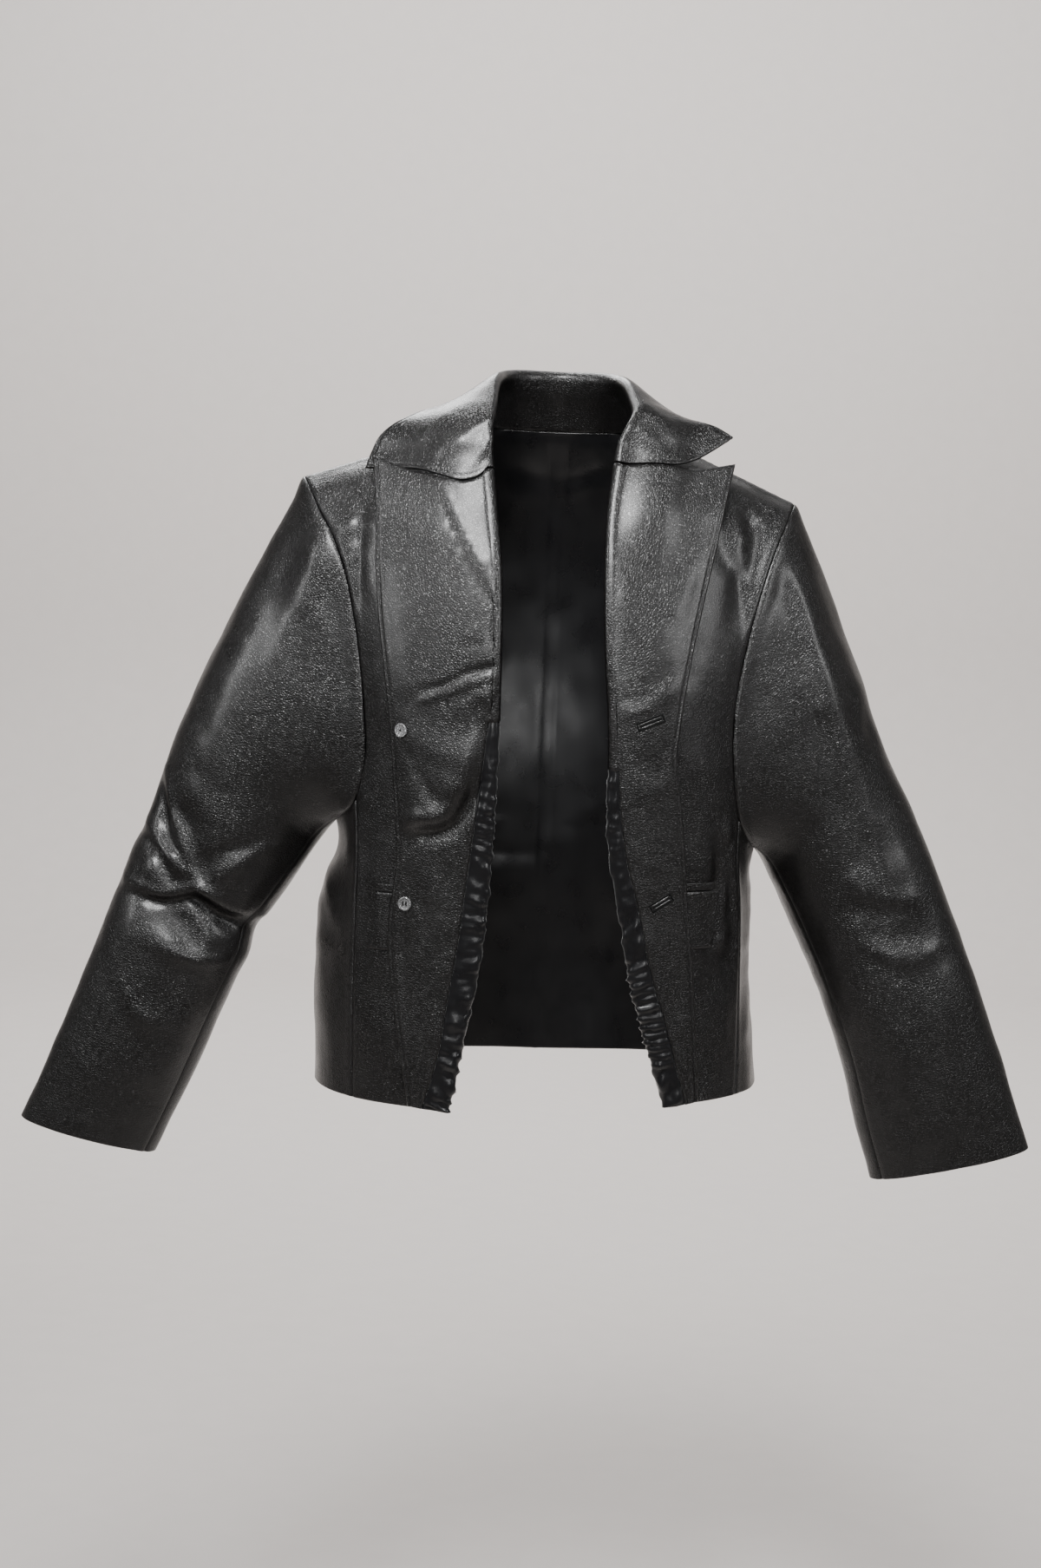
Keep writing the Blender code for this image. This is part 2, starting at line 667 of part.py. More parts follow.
def back_top(bodies):
    """The back's top edge: shoulder seam, back neckline, shoulder seam, from right to left, and its columns."""
    tips = {name: body.outer_edge("back", 1) for name, body in bodies.items()}
    points = []
    for k in range(FRONT_COLUMNS + 1):
        share = k / FRONT_COLUMNS
        points.append(tips["right"] + (bodies["right"].neckline(1) - tips["right"]) * share)
    for k in range(1, NECK_COLUMNS):
        turn = math.pi * k / NECK_COLUMNS
        x = -NECK_POINT[0] * math.cos(turn)
        points.append(np.array([x, BACK_NECK[1] * math.sin(turn) ** 0.9, BACK_NECK[2] * math.sin(turn)]))
    for k in range(FRONT_COLUMNS + 1):
        share = k / FRONT_COLUMNS
        points.append(bodies["left"].neckline(1) * (1 - share) + tips["left"] * share)
    return np.array(points)


def back_sheet(bodies):
    top = back_top(bodies)
    grid = []
    for v in np.concatenate([np.linspace(0, SPLIT, SEAM_ROWS + 1), SPLIT + (1 - SPLIT) * back_shares()[1:]]):
        centre = bodies["right"].centre(v)
        straight = straightening(v)
        give = np.array([straight, straight**2.4, straight])
        row = []
        for point in top:
            body = bodies["right"] if point[0] < 0 else bodies["left"]
            tip, end = body.outer_edge("back", 1), body.outer_edge("back", v)
            out = abs(point[0] / tip[0])
            to_back = max(centre[1], 1) ** -RING_EXPONENT
            y = ring_y(end[0] * out, axis(end[0], end[1], to_back), to_back)
            z = end[2] + (centre[2] - end[2]) * (1 - out**1.5)
            like_top = point + (end - tip) * out + (centre - np.array(BACK_NECK)) * (1 - out)
            row.append(np.array([end[0] * out, y, z]) * (1 - give) + like_top * give)
        grid.append(row)
    return Sheet(grid, flip=True)


# ---------------------------------------------------------------- sleeves


def armhole_loop(body):
    """The armhole's points, from the shoulder tip down the front, under the arm and up the back to the tip."""
    front = [body.outer_edge("front", v) for v in front_rows()[SEAM_ROWS:]][::-1]
    under = [body.armhole_under(share) for share in np.linspace(0, 1, SIDE_COLUMNS + 1)]
    back = [body.armhole_back(share) for share in back_shares()]
    return np.array(front + under[1:] + back[1:])


def sleeve_grid(body):
    """Rings down the sleeve, each with the armhole's number of points; the last point repeats the first."""
    outer = curve(mirrored(body.side["sleeve_outer"], body.sign))
    inner = curve(mirrored(body.side["sleeve_inner"], body.sign))
    loop = armhole_loop(body)
    table = np.array(SLEEVE_RINGS, float)
    knots = np.linspace(0, 1, len(table))

    middle = (outer(0) + inner(0)) / 2
    reach = outer(0) - middle
    heights = np.clip((loop[:, [0, 2]] - middle) @ reach / (reach @ reach), -1, 1)
    turns = np.arccos(heights)
    lowest = int(np.argmin(heights))
    turns[lowest + 1 :] = 2 * math.pi - turns[lowest + 1 :]
    turns[0], turns[-1] = 0, 2 * math.pi
    even = np.linspace(0, 2 * math.pi, len(loop))

    def ring(share, turn):
        along_outer, along_inner, depth, middle_y = (np.interp(share, knots, table[:, k]) for k in range(4))
        top, low = outer(along_outer), inner(along_inner)
        power = 2 / SLEEVE_EXPONENT
        cosine, sine = math.cos(turn), math.sin(turn)
        flat = (top + low) / 2 + (top - low) / 2 * math.copysign(abs(cosine) ** power, cosine)
        return np.array([flat[0], middle_y - depth * math.copysign(abs(sine) ** power, sine), flat[1]])

    grid = []
    for share in np.linspace(0, 1, SLEEVE_ROWS + 1):
        keep = 1 - smooth(share / CAP_FADE)
        evened = smooth(share / EVEN_BY)
        now = turns * (1 - evened) + even * evened
        grid.append([ring(share, turn) + (loop[i] - ring(0, turns[i])) * keep for i, turn in enumerate(now)])
    return np.array(grid)


def sleeve_sheets(body):
    """Top and under sleeve: the front seam runs down inside the forearm, the hind seam down behind the arm."""
    flip = body.sign < 0
    whole = Sheet(sleeve_grid(body), flip)
    joint = whole.normals[:, 0] + whole.normals[:, -1]
    whole.normals[:, 0] = whole.normals[:, -1] = joint / np.linalg.norm(joint, axis=1, keepdims=True)
    grid = whole.points.copy()
    for r in range(1, SLEEVE_ROWS):
        behind = whole.points[r, :, 1].mean() + 20
        for c in range(grid.shape[1]):
            if grid[r, c, 1] < behind:
                grid[r, c] += whole.normals[r, c] * fold_depth(whole.points[r, c], FOLDS["sleeve_" + body.name])
    under = Sheet(grid[:, FRONT_CUT : HIND_CUT + 1], flip)
    top = Sheet(np.concatenate([grid[:, HIND_CUT:], grid[:, 1 : FRONT_CUT + 1]], axis=1), flip)
    return top, under


def set_in(body, top, under, front, side, back):
    """Sews a sleeve's two pieces together and to the pieces round its armhole."""
    sew(edge(top, "first"), edge(under, "last"))
    sew(edge(top, "last"), edge(under, "first"))
    count = 2 * ARM_ROWS + SIDE_COLUMNS
    sleeve = [[] for _ in range(count)]
    for c in range(under.valid.shape[1]):
        sleeve[FRONT_CUT + c].append((under, (0, c), (1, 0)))
    for c in range(top.valid.shape[1]):
        sleeve[(HIND_CUT + c) % count].append((top, (0, c), (1, 0)))
    body_places = [[] for _ in range(count)]
    back_side = "first" if body.name == "right" else "last"
    for k, place in enumerate(reversed(edge(front, "last", SEAM_ROWS))):
        body_places[k].append(place)
    for k, place in enumerate(edge(side, "top")):
        body_places[ARM_ROWS + k].append(place)
    for k, place in enumerate(edge(back, back_side, SEAM_ROWS)):
        body_places[(ARM_ROWS + SIDE_COLUMNS + k) % count].append(place)
    loop = armhole_loop(body)[:-1]
    tangents = np.roll(loop, -1, axis=0) - np.roll(loop, 1, axis=0)
    sew(sleeve, body_places, tangents, ARMHOLE_GAP)


# ---------------------------------------------------------------- what lies on the fronts


def facing_sheet(front, sheet):
    """On the turned-back part down to the lining's seam; above the lining's top it goes round the bend inside."""
    keep = np.ones((GORGE_ROW + 1, LEAD_COLUMNS + 2), bool)
    keep[: front.side["lining_top_row"], TURNED_COLUMNS:] = False
    height = -(SHELL_THICK + FACING_THICK) / 2 - LAYER_GAP
    return sheet.layer(height, slice(0, GORGE_ROW + 1), slice(0, LEAD_COLUMNS + 2), keep)


def lining_sheet(front, sheet):
    """From its seam with the facing round the bend to the inside, up to where the facing takes over."""
    height = -(SHELL_THICK + FACING_THICK) / 2 - LAYER_GAP
    return sheet.layer(
        height, slice(0, front.side["lining_top_row"] + 1), slice(TURNED_COLUMNS - 1, LEAD_COLUMNS + 3)
    )


def sew_lining(front, facing, lining):
    """Facing and lining share the seam's column, and the row where the facing takes over."""
    top = front.side["lining_top_row"]
    seam = TURNED_COLUMNS - 1
    sew(
        [(facing, (r, seam), (0, -1)) for r in range(top + 1)],
        [(lining, (r, 0), (0, 1)) for r in range(top + 1)],
    )
    last = LEAD_COLUMNS + 1
    for c in range(seam, last + 1):
        facing.shift[top, c] += unit(facing.points[top + 1, c] - facing.points[top, c]) * SEAM_GAP / 2
    for c in range(lining.valid.shape[1]):
        lining.shift[top, c] += unit(lining.points[top - 1, c] - lining.points[top, c]) * SEAM_GAP / 2


def on_front(front, rows, lift):
    """Points seen from the front at x and z, put on the forepart and lifted."""
    grid, start = [], (0.5, 0.35)
    for row in rows:
        line = []
        for x, z in row:
            start = front.place(x, z, lift, start)
            line.append(front.lifted(*start, lift))
        grid.append(line)
    return Sheet(grid, flip=front.sign < 0)


def pocket_rows(front, low, high, row_count):
    """Rows across the pocket from low to high, measured up from the flap's upper edge."""
    x_upper, z_upper, x_lower = front.side["flap"]
    rows = []
    for height in np.linspace(low, high, row_count + 1):
        x_outer = x_upper - (x_lower - x_upper) * min(height, 0) / FLAP_DEPTH
        shares = np.linspace(1, 0, POCKET_COLUMNS + 1)
        rows.append([(front.sign * (x_outer - FLAP_WIDTH * share), z_upper + height) for share in shares])
    return rows


def button(name, centre, normal, diameter, thick, holes, finish):
    """A turned button with a raised rim, its sewing holes cut through."""
    helper = unit(np.cross(normal, np.array([0.0, 0.0, 1.0])))
    other = np.cross(normal, helper)

    def circle(middle, radius, height, sides):
        return [
            middle + (helper * math.cos(turn) + other * math.sin(turn)) * radius + normal * height
            for turn in np.linspace(0, 2 * math.pi, sides, endpoint=False)
        ]

    def turned_solid(solid_name, middle, profile, sides):
        vertices = [v for radius, height in profile for v in circle(middle, radius, height, sides)]
        faces = [list(range(sides))[::-1], list(range((len(profile) - 1) * sides, len(profile) * sides))]
        for k in range(len(profile) - 1):
            for i in range(sides):
                j = (i + 1) % sides
                faces.append([k * sides + i, k * sides + j, (k + 1) * sides + j, (k + 1) * sides + i])
        return add_object(solid_name, vertices, faces, finish)

    profile = [(share * diameter / 2, height * thick) for share, height in BUTTON_PROFILE]
    made = turned_solid(name, centre, profile, BUTTON_SIDES)
    for k in range(holes):
        turn = math.pi / 4 + 2 * math.pi * k / holes
        middle = centre + (helper * math.cos(turn) + other * math.sin(turn)) * HOLE_PITCH / 2 * (holes > 1)
        bore = [(HOLE_DIAMETER / 2, -thick), (HOLE_DIAMETER / 2, thick)]
        cutter = turned_solid(f"{name}_hole_{k}", middle, bore, 8)
        cutter.hide_render = True
        cutter.display_type = "WIRE"
        cut = made.modifiers.new("sewing_hole", "BOOLEAN")
        cut.object = cutter
        cut.operation = "DIFFERENCE"
    return made


def button_places(front, z):
    """Where a button sits at a height, in from the turned-back part's edge: the point and its normal."""
    shares = np.linspace(0.02, 0.98, 60)
    heights = [front.turned(share * GORGE, 1)[2] for share in shares]
    v = float(np.interp(z, heights, shares)) * GORGE

    def at(inset):
        edge_point, fold_point = front.turned(v, 1), front.turned(v, 0)
        share = 1 - inset / float(np.linalg.norm(edge_point - fold_point))
        here = front.turned(v, share)
        across = front.turned(v, min(share + 0.03, 1)) - front.turned(v, share - 0.03)
        upwards = front.turned(v + 0.01, share) - front.turned(v - 0.01, share)
        return here, unit(np.cross(across, upwards)) * front.sign

    return at


# ---------------------------------------------------------------- collar


def neck_line(fronts):
    """The body's neckline, from the right gorge round the back to the left one."""
    shares = np.linspace(0, 1, 30)
    right = [fronts["right"].neckline(share) for share in shares]
    left = [fronts["left"].neckline(share) for share in shares[::-1]]
    return np.array([*right, *back_top(fronts)[FRONT_COLUMNS + 1 : -FRONT_COLUMNS - 1], *left])


def nearest_on(line, point):
    """The nearest point of a line made of short straight runs."""
    start, run = line[:-1], np.diff(line, axis=0)
    share = np.clip(((point - start) * run).sum(axis=1) / (run * run).sum(axis=1), 0, 1)
    found = start + run * share[:, None]
    return found[np.argmin(np.linalg.norm(found - point, axis=1))]


def collar_sheets(fronts, facings):
    """Top collar and under collar: sections from the right gorge round the neck to the left one."""
    seam_line = neck_line(fronts)
    stations = [np.array(mirrored(station, -1), float) for station in SIDES["right"]["collar"]]
    stations += [np.array(mirrored(station, 1), float) for station in SIDES["left"]["collar"]][-2::-1]
    stations = np.array(stations)
    knots = lengths_of(stations[:, 1])
    neck, roll, outer = (curve(stations[:, k], knots) for k in range(3))

    def section(share):
        n, r, e = nearest_on(seam_line, neck(share)), roll(share), outer(share)
        n = n + np.array([-n[0] / NECK_SLANT, n[1] / NECK_SLANT, 1]) * NECK_LIFT
        over = unit(e - n)
        stand, fall = float(np.linalg.norm(r - n)), float(np.linalg.norm(e - r))
        points = []
        for c in COLLAR_PLACES:
            if c < ROLL_PLACE:
                points.append(hermite(n, r, (r - n) * 1.1, over * stand * 0.9, c / ROLL_PLACE))
            else:
                points.append(hermite(r, e, over * fall * 0.5, e - r, (c - ROLL_PLACE) / (1 - ROLL_PLACE)))
        return np.array(points)

    def gorge_section(name):
        """The collar's front end: along the top of facing and bend to the notch, then free to its tip."""
        facing = facings[name]
        top_row = facing.points[GORGE_ROW]
        upwards = facing.points[GORGE_ROW] - facing.points[GORGE_ROW - 1]
        seam = [top_row[c] + unit(upwards[c]) * GORGE_GAP for c in range(LEAD_COLUMNS, NOTCH_COLUMN - 1, -1)]
        seam[0] = seam[0] + np.array([-SIDES[name]["sign"], 0, 0.7]) * GORGE_GAP  # clear of the neckline
        free = [
            top_row[NOTCH_COLUMN - 1 - k] + np.array([out * SIDES[name]["sign"], back, up], float)
            for k, (out, back, up) in enumerate(SIDES[name]["collar_end"])
        ]
        return np.array(seam + free)

    ends = {name: gorge_section(name) for name in SIDES}
    grid = []
    for share in np.linspace(0, 1, COLLAR_ROWS + 1):
        points = section(share)
        for name, own_share in (("right", share), ("left", 1 - share)):
            keep = 1 - smooth(own_share / GORGE_FADE)
            start = section(0.0 if name == "right" else 1.0)
            points = points + (ends[name] - start) * keep
        grid.append(points)
    top = Sheet(grid, flip=True)
    return top, top.layer(-COLLAR_THICK - LAYER_GAP)


# ---------------------------------------------------------------- making


def build():
    for old in list(bpy.data.objects):
        bpy.data.objects.remove(old, do_unlink=True)

    leather = material("black_faux_leather", (0.012, 0.012, 0.013), 0.38)
    facing_leather = material("facing_faux_leather", (0.014, 0.014, 0.015), 0.4)
    satin = material("black_satin_lining", (0.008, 0.008, 0.009), 0.3)
    black_plastic = material("black_button_plastic", (0.015, 0.015, 0.016), 0.3)
    clear_plastic = material("clear_button_plastic", (0.75, 0.75, 0.76), 0.15, alpha=0.6)

    fronts = {name: Front(name) for name in SIDES}
    back = back_sheet(fronts)
    press_folds(back, FOLDS["back"])
    shells = {"back": back}
    facings = {}
    for name, front in fronts.items():
        forepart, side = front_sheet(front), side_sheet(front)
        facings[name] = facing_sheet(front, forepart)
        lining = lining_sheet(front, forepart)
        sew_lining(front, facings[name], lining)
        press_folds(forepart, FOLDS["front_" + name], LEAD_COLUMNS + 4)
        press_folds(side, FOLDS["side_" + name])
        top, under = sleeve_sheets(front)
        back_pairs = edge(back, "first" if name == "right" else "last", 0, SEAM_ROWS + 1)
        shoulder = edge(back, "top")[: FRONT_COLUMNS + 1][::-1]
        if name == "left":
            shoulder = edge(back, "top")[-FRONT_COLUMNS - 1 :]
        sew(edge(forepart, "last", 0, SEAM_ROWS + 1), edge(side, "first"))
        sew(edge(side, "last"), back_pairs)
        sew(edge(forepart, "top", LEAD_COLUMNS), shoulder)
        set_in(front, top, under, forepart, side, back)
        shells |= {
            "front_" + name: forepart,
            "side_" + name: side,
            f"sleeve_{name}_top": top,
            f"sleeve_{name}_under": under,
        }
        cloth("facing_" + name, facings[name], FACING_THICK, facing_leather)
        cloth("lining_" + name, lining, LINING_THICK, satin)
        flap_rows = pocket_rows(front, -FLAP_DEPTH, 0, 3)
        flap = on_front(front, flap_rows, (SHELL_THICK + FLAP_THICK) / 2 + POCKET_GAP)
        cloth("flap_" + name, flap, FLAP_THICK, leather)
        welt_rows = pocket_rows(front, SEAM_GAP, SEAM_GAP + WELT_DEPTH, 1)
        welt = on_front(front, welt_rows, (SHELL_THICK + WELT_THICK) / 2 + POCKET_GAP)
        cloth("welt_" + name, welt, WELT_THICK, leather)
    for name, sheet in shells.items():
        cloth(name, sheet, SHELL_THICK, leather)

    top_collar, under_collar = collar_sheets(fronts, facings)
    cloth("collar", top_collar, COLLAR_THICK, leather)
    cloth("under_collar", under_collar, COLLAR_THICK, leather)

    for place, z, stay_inset, holes in BUTTONS:
        at = button_places(fronts["right"], z)
        point, normal = at(BUTTON_INSET)
        drop = (SHELL_THICK + BUTTON_THICK) / 2 + LAYER_GAP
        middle = point - normal * drop
        button("button_" + place, middle, -normal, BUTTON_DIAMETER, BUTTON_THICK, 0, black_plastic)
        point, normal = at(stay_inset)
        rise = (SHELL_THICK + STAY_THICK) / 2 + FACING_THICK + 2 * LAYER_GAP
        middle = point + normal * rise
        button("stay_button_" + place, middle, normal, STAY_DIAMETER, STAY_THICK, holes, clear_plastic)


build()
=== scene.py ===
"""Looks of a man's black faux leather blazer, worn open with both fronts turned back to the hem.

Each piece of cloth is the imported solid's own surface, made again from the same tables, refined to cells of
about 4 mm and given its creases, seams, edges and stitching. Millimetres, +Z up, the front faces -Y; right is
the wearer's right, -X.
"""

import math

import bpy
import numpy as np
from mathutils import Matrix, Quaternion, Vector


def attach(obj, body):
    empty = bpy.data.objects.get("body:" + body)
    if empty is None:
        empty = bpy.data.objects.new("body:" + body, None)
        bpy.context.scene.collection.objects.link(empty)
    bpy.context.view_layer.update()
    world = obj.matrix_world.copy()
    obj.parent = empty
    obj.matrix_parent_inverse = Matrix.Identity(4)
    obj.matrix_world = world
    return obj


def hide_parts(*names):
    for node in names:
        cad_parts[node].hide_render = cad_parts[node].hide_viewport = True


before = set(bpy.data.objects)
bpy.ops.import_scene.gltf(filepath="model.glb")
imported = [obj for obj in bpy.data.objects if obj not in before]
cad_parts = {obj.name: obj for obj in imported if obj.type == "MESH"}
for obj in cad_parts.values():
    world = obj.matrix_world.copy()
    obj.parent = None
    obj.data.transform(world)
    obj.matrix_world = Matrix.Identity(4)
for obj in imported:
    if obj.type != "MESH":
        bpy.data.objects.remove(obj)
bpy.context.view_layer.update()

MM = 0.001

# Cloth, in millimetres
SHELL_THICK = 1.6
FACING_THICK = 1.2
LINING_THICK = 1.0
COLLAR_THICK = 1.3
FLAP_THICK = 2.0
WELT_THICK = 1.8
SEAM_GAP = 0.3
LAYER_GAP = 0.4
POCKET_GAP = 0.6  # under welt and flap, whose grid is not the panel's
BEND_RADIUS = 3.6  # where a front turns back, on the middle of the shell

# How finely each sheet is divided
SEAM_ROWS = 11
ARM_ROWS_LOW = 6
ARM_ROWS_HIGH = 3
ARM_ROWS = ARM_ROWS_LOW + ARM_ROWS_HIGH
FRONT_COLUMNS = 9
BEND_COLUMNS = 3
SIDE_COLUMNS = 6
NECK_COLUMNS = 6
SLEEVE_ROWS = 24
COLLAR_ROWS = 26

OUTER_COLUMNS = 3  # of a turned-back front, from its edge to the column of the notch
TURNED_COLUMNS = OUTER_COLUMNS + 3  # and on to the lining's seam
NOTCH_SHARE = 0.45  # where the notch lies between the fold and the peak

RING_EXPONENT = 2.4  # of the body's rows seen from above

# Shoulder seam and neck
NECK_POINT = (85, 0, 0)
BACK_NECK = (0, 70, -3)
CENTRE_BACK = [
    # x, y, z from the hem up
    (0, 138, -660), (0, 133, -560), (0, 120, -450), (0, 119, -360), (0, 124, -260), (0, 121, -170),
    (0, 108, -90), (0, 90, -32), BACK_NECK,
]

# Columns are x outwards from the centre line, y and z, from the hem upwards, unless a comment says otherwise.
SIDES = {
    "right": {
        "sign": -1,
        # half width of the body (x) at a height (z)
        "body_width": [(-667, 224), (-561, 228), (-489, 227), (-431, 221), (-371, 213)],
        # the line about which the front turns back, up to the gorge, then the front neckline
        "fold": [
            (88, -136, -668), (75, -139, -591), (64, -139, -522), (57, -140, -450), (54, -143, -369),
            (53, -144, -302), (53, -143, -244), (54, -132, -180), (57, -116, -128), (65, -90, -70),
            (67, -80, -50),
        ],
        "neckline": [(67, -80, -50), (77, -50, -28), (83, -22, -8), NECK_POINT],
        # seams: x and z; their y lies on the body
        "front_seam": [(181, -667), (184, -560), (184, -470), (184, -415), (187, -371)],
        "back_seam": [(165, -662), (168, -560), (173, -470), (181, -415), (192, -367)],
        # armhole: from above the front seam to the shoulder tip, then under the arm, then from above the back
        # seam to the tip
        "armhole_front": [
            (180, -89, -340), (179, -90, -315), (183, -88, -270), (189, -82, -225), (197, -74, -183),
            (207, -65, -146), (218, -55, -118), (235, -37, -90), (248, -16, -66), (253, 0, -58),
        ],
        "armhole_under": [(198, -64, -384), (207, -34, -393), (212, 0, -396), (209, 34, -388)],
        "armhole_back": [
            (187, 80, -325), (184, 88, -270), (187, 88, -215), (196, 80, -165), (211, 66, -120), (232, 44, -84),
            (246, 20, -64), (253, 0, -58),
        ],
        # outer edge of the turned-back part as seen from the front: x and z, hem to peak
        "lapel_edge": [
            (124, -664), (139, -577), (148, -509), (148, -475), (143, -433), (144, -390), (148, -348),
            (152, -307), (157, -265), (165, -215), (173, -149), (175, -100), (182, -36),
        ],
        "gorge_dip": 0.030,
        "roll_crest": 1.5,
        # how far the turned-back part's edge stands off the forepart, by height from hem (0) to peak (1)
        "edge_lift": [(0, 10), (0.3, 11), (0.55, 12), (0.8, 10), (0.9, 14), (1, 26)],
        # where facing and lining meet, from the bend's crest over the front, by height from hem to gorge
        "lining_seam": [(0, 27), (0.08, 22), (0.2, 25), (0.35, 24), (0.45, 20), (0.55, 14), (0.66, 9), (1, 14)],
        "lining_top_row": 12,
        # pocket flap: x and z of its upper outer corner, x of its lower one
        "flap": (161, -458, 169),
        # the collar's free end past the notch: how far out, back and up it stands from the top of the facing
        "collar_end": [(0, 4.5, 2.5), (3, 8.5, -4), (8, 11, -13)],
        # collar: from the front end to the centre back, the neck seam, the roll and the outer edge
        "collar": [
            ((66, -84, -46), (68, -100, -40), (188, -62, -52)),
            ((72, -66, -26), (70, -84, -8), (176, -44, -18)),
            ((78, -36, -6), (66, -46, 24), (142, -18, 8)),
            ((82, -4, 5), (64, -10, 46), (114, 4, 14)),
            ((66, 40, 4), (52, 34, 55), (88, 60, 8)),
            ((0, 67, 2), (0, 60, 57), (0, 99, 2)),
        ],
        # sleeve seen from the front: x and z down its outer and its inner outline
        "sleeve_outer": [
            (253, -58), (272, -97), (293, -139), (318, -190), (344, -245), (373, -316), (390, -361),
            (415, -437), (452, -541), (492, -648), (520, -712),
        ],
        "sleeve_inner": [
            (212, -396), (219, -408), (246, -452), (280, -506), (301, -551), (330, -619), (354, -677),
            (384, -744),
        ],
    },
    "left": {
        "sign": 1,
        "body_width": [(-655, 224), (-581, 216), (-491, 214), (-424, 214), (-378, 212)],
        "fold": [
            (129, -127, -657), (102, -134, -576), (88, -137, -525), (76, -139, -458), (66, -141, -412),
            (62, -143, -357), (62, -144, -307), (56, -143, -240), (52, -131, -174), (51, -115, -125),
            (54, -88, -62), (57, -78, -40),
        ],
        "neckline": [(57, -78, -40), (72, -50, -24), (82, -22, -8), NECK_POINT],
        "front_seam": [(198, -654), (198, -560), (195, -470), (190, -420), (190, -378)],
        "back_seam": [(165, -652), (168, -560), (173, -470), (181, -420), (193, -374)],
        "armhole_front": [
            (184, -88, -345), (181, -90, -318), (181, -88, -270), (187, -83, -226), (196, -75, -185),
            (205, -66, -150), (214, -55, -122), (225, -38, -95), (234, -17, -76), (238, 0, -68),
        ],
        "armhole_under": [(199, -64, -395), (208, -34, -406), (213, 0, -411), (210, 34, -401)],
        "armhole_back": [
            (188, 80, -330), (184, 88, -272), (187, 88, -215), (195, 80, -165), (207, 66, -126), (221, 44, -93),
            (233, 20, -74), (238, 0, -68),
        ],
        "lapel_edge": [
            (158, -652), (153, -592), (148, -532), (139, -456), (136, -422), (129, -363), (122, -313),
            (129, -254), (136, -204), (147, -154), (157, -104), (165, -66), (173, -32),
        ],
        "gorge_dip": 0.008,
        "roll_crest": 9,
        "edge_lift": [(0, 10), (0.3, 11), (0.55, 12), (0.8, 10), (0.9, 14), (1, 30)],
        "lining_seam": [(0, 20), (0.08, 24), (0.15, 25), (0.3, 20), (0.42, 16), (0.52, 10), (0.6, 9), (1, 14)],
        "lining_top_row": 11,
        "flap": (172, -446, 167),
        "collar_end": [(0, 2, 8), (-1, 4, 17), (-3, 7, 26)],
        "collar": [
            ((58, -80, -36), (88, -104, -28), (170, -60, -6)),
            ((64, -66, -20), (82, -84, 2), (154, -42, 4)),
            ((74, -36, -4), (74, -46, 26), (130, -18, 10)),
            ((81, -4, 5), (66, -10, 46), (110, 4, 15)),
            ((66, 40, 4), (52, 34, 55), (88, 60, 8)),
            ((0, 67, 2), (0, 60, 57), (0, 99, 2)),
        ],
        "sleeve_outer": [
            (238, -68), (256, -110), (280, -161), (300, -208), (320, -256), (345, -322), (369, -368),
            (395, -425), (419, -482), (459, -588), (502, -708),
        ],
        "sleeve_inner": [
            (213, -411), (220, -424), (241, -465), (262, -508), (280, -548), (310, -627), (326, -687),
            (344, -745),
        ],
    },
}

# Sleeve rings from armhole to cuff: how far along the outer and the inner outline they stand (0 to 1), half
# their depth front to back, and how far their middle lies behind the shoulders.
SLEEVE_RINGS = [
    # outer, inner, half_depth, middle_y
    (0.00, 0.00, 80, 2),
    (0.10, 0.02, 78, 2),
    (0.22, 0.05, 74, 1),
    (0.34, 0.10, 68, -1),
    (0.44, 0.17, 63, -4),
    (0.54, 0.30, 58, -9),
    (0.64, 0.45, 54, -15),
    (0.74, 0.60, 48, -22),
    (0.84, 0.75, 41, -28),
    (0.93, 0.89, 35, -32),
    (1.00, 1.00, 31, -34),
]
SLEEVE_EXPONENT = 2.2
CAP_FADE = 0.3  # share of the sleeve's length over which the armhole's own shape fades out
EVEN_BY = 0.6  # and by which its points are evenly spaced round the ring

# Folds big enough to carve in the solids: two ends seen from the front (x, z), depth (a trough is negative) and
# half width
FOLDS = {
    "sleeve_right": [
        # x_0, z_0, x_1, z_1, depth, half_width
        (-385, -372, -340, -478, -13, 22),
        (-404, -415, -345, -483, -10, 17),
        (-400, -484, -282, -512, -14, 20),
        (-374, -420, -352, -455, 9, 18),
        (-395, -452, -330, -500, 8, 16),
        (-236, -112, -236, -190, 9, 17),
    ],
    "sleeve_left": [
        (295, -275, 345, -300, -5, 18),
        (245, -100, 262, -260, 5, 26),
        (330, -470, 400, -500, -5, 22),
    ],
    "front_right": [
        (-236, -95, -196, -190, -7, 16),
        (-196, -390, -168, -440, -5, 18),
    ],
    "front_left": [
        (196, -75, 178, -180, -8, 16),
        (186, -395, 176, -540, -6, 20),
    ],
    "side_right": [(-205, -420, -212, -560, -6, 22)],
    "side_left": [(206, -440, 200, -600, -7, 22)],
    "back": [
        (-150, -120, -110, -330, -6, 34),
        (140, -140, 105, -350, -6, 34),
        (-60, -640, -72, -430, -6, 36),
        (70, -640, 62, -450, 5, 36),
    ],
}

# Pockets
FLAP_WIDTH = 112
FLAP_DEPTH = 57
WELT_DEPTH = 8
POCKET_COLUMNS = 6

# Buttons: name, height of its middle, how far the stay button is in from the edge, and its sewing holes
BUTTONS = [("upper", -298, 11.5, 1), ("lower", -465, 14, 4)]
BUTTON_INSET = 8
BUTTON_DIAMETER = 22
BUTTON_THICK = 3.4
STAY_DIAMETER = 13.2
STAY_THICK = 2.6
HOLE_DIAMETER = 1.8
HOLE_PITCH = 4.6
BUTTON_PROFILE = [
    # share of the radius, share of the thickness
    (0.82, -0.5), (1.0, -0.2), (1.0, 0.28), (0.9, 0.5), (0.76, 0.44), (0.66, 0.2),
]

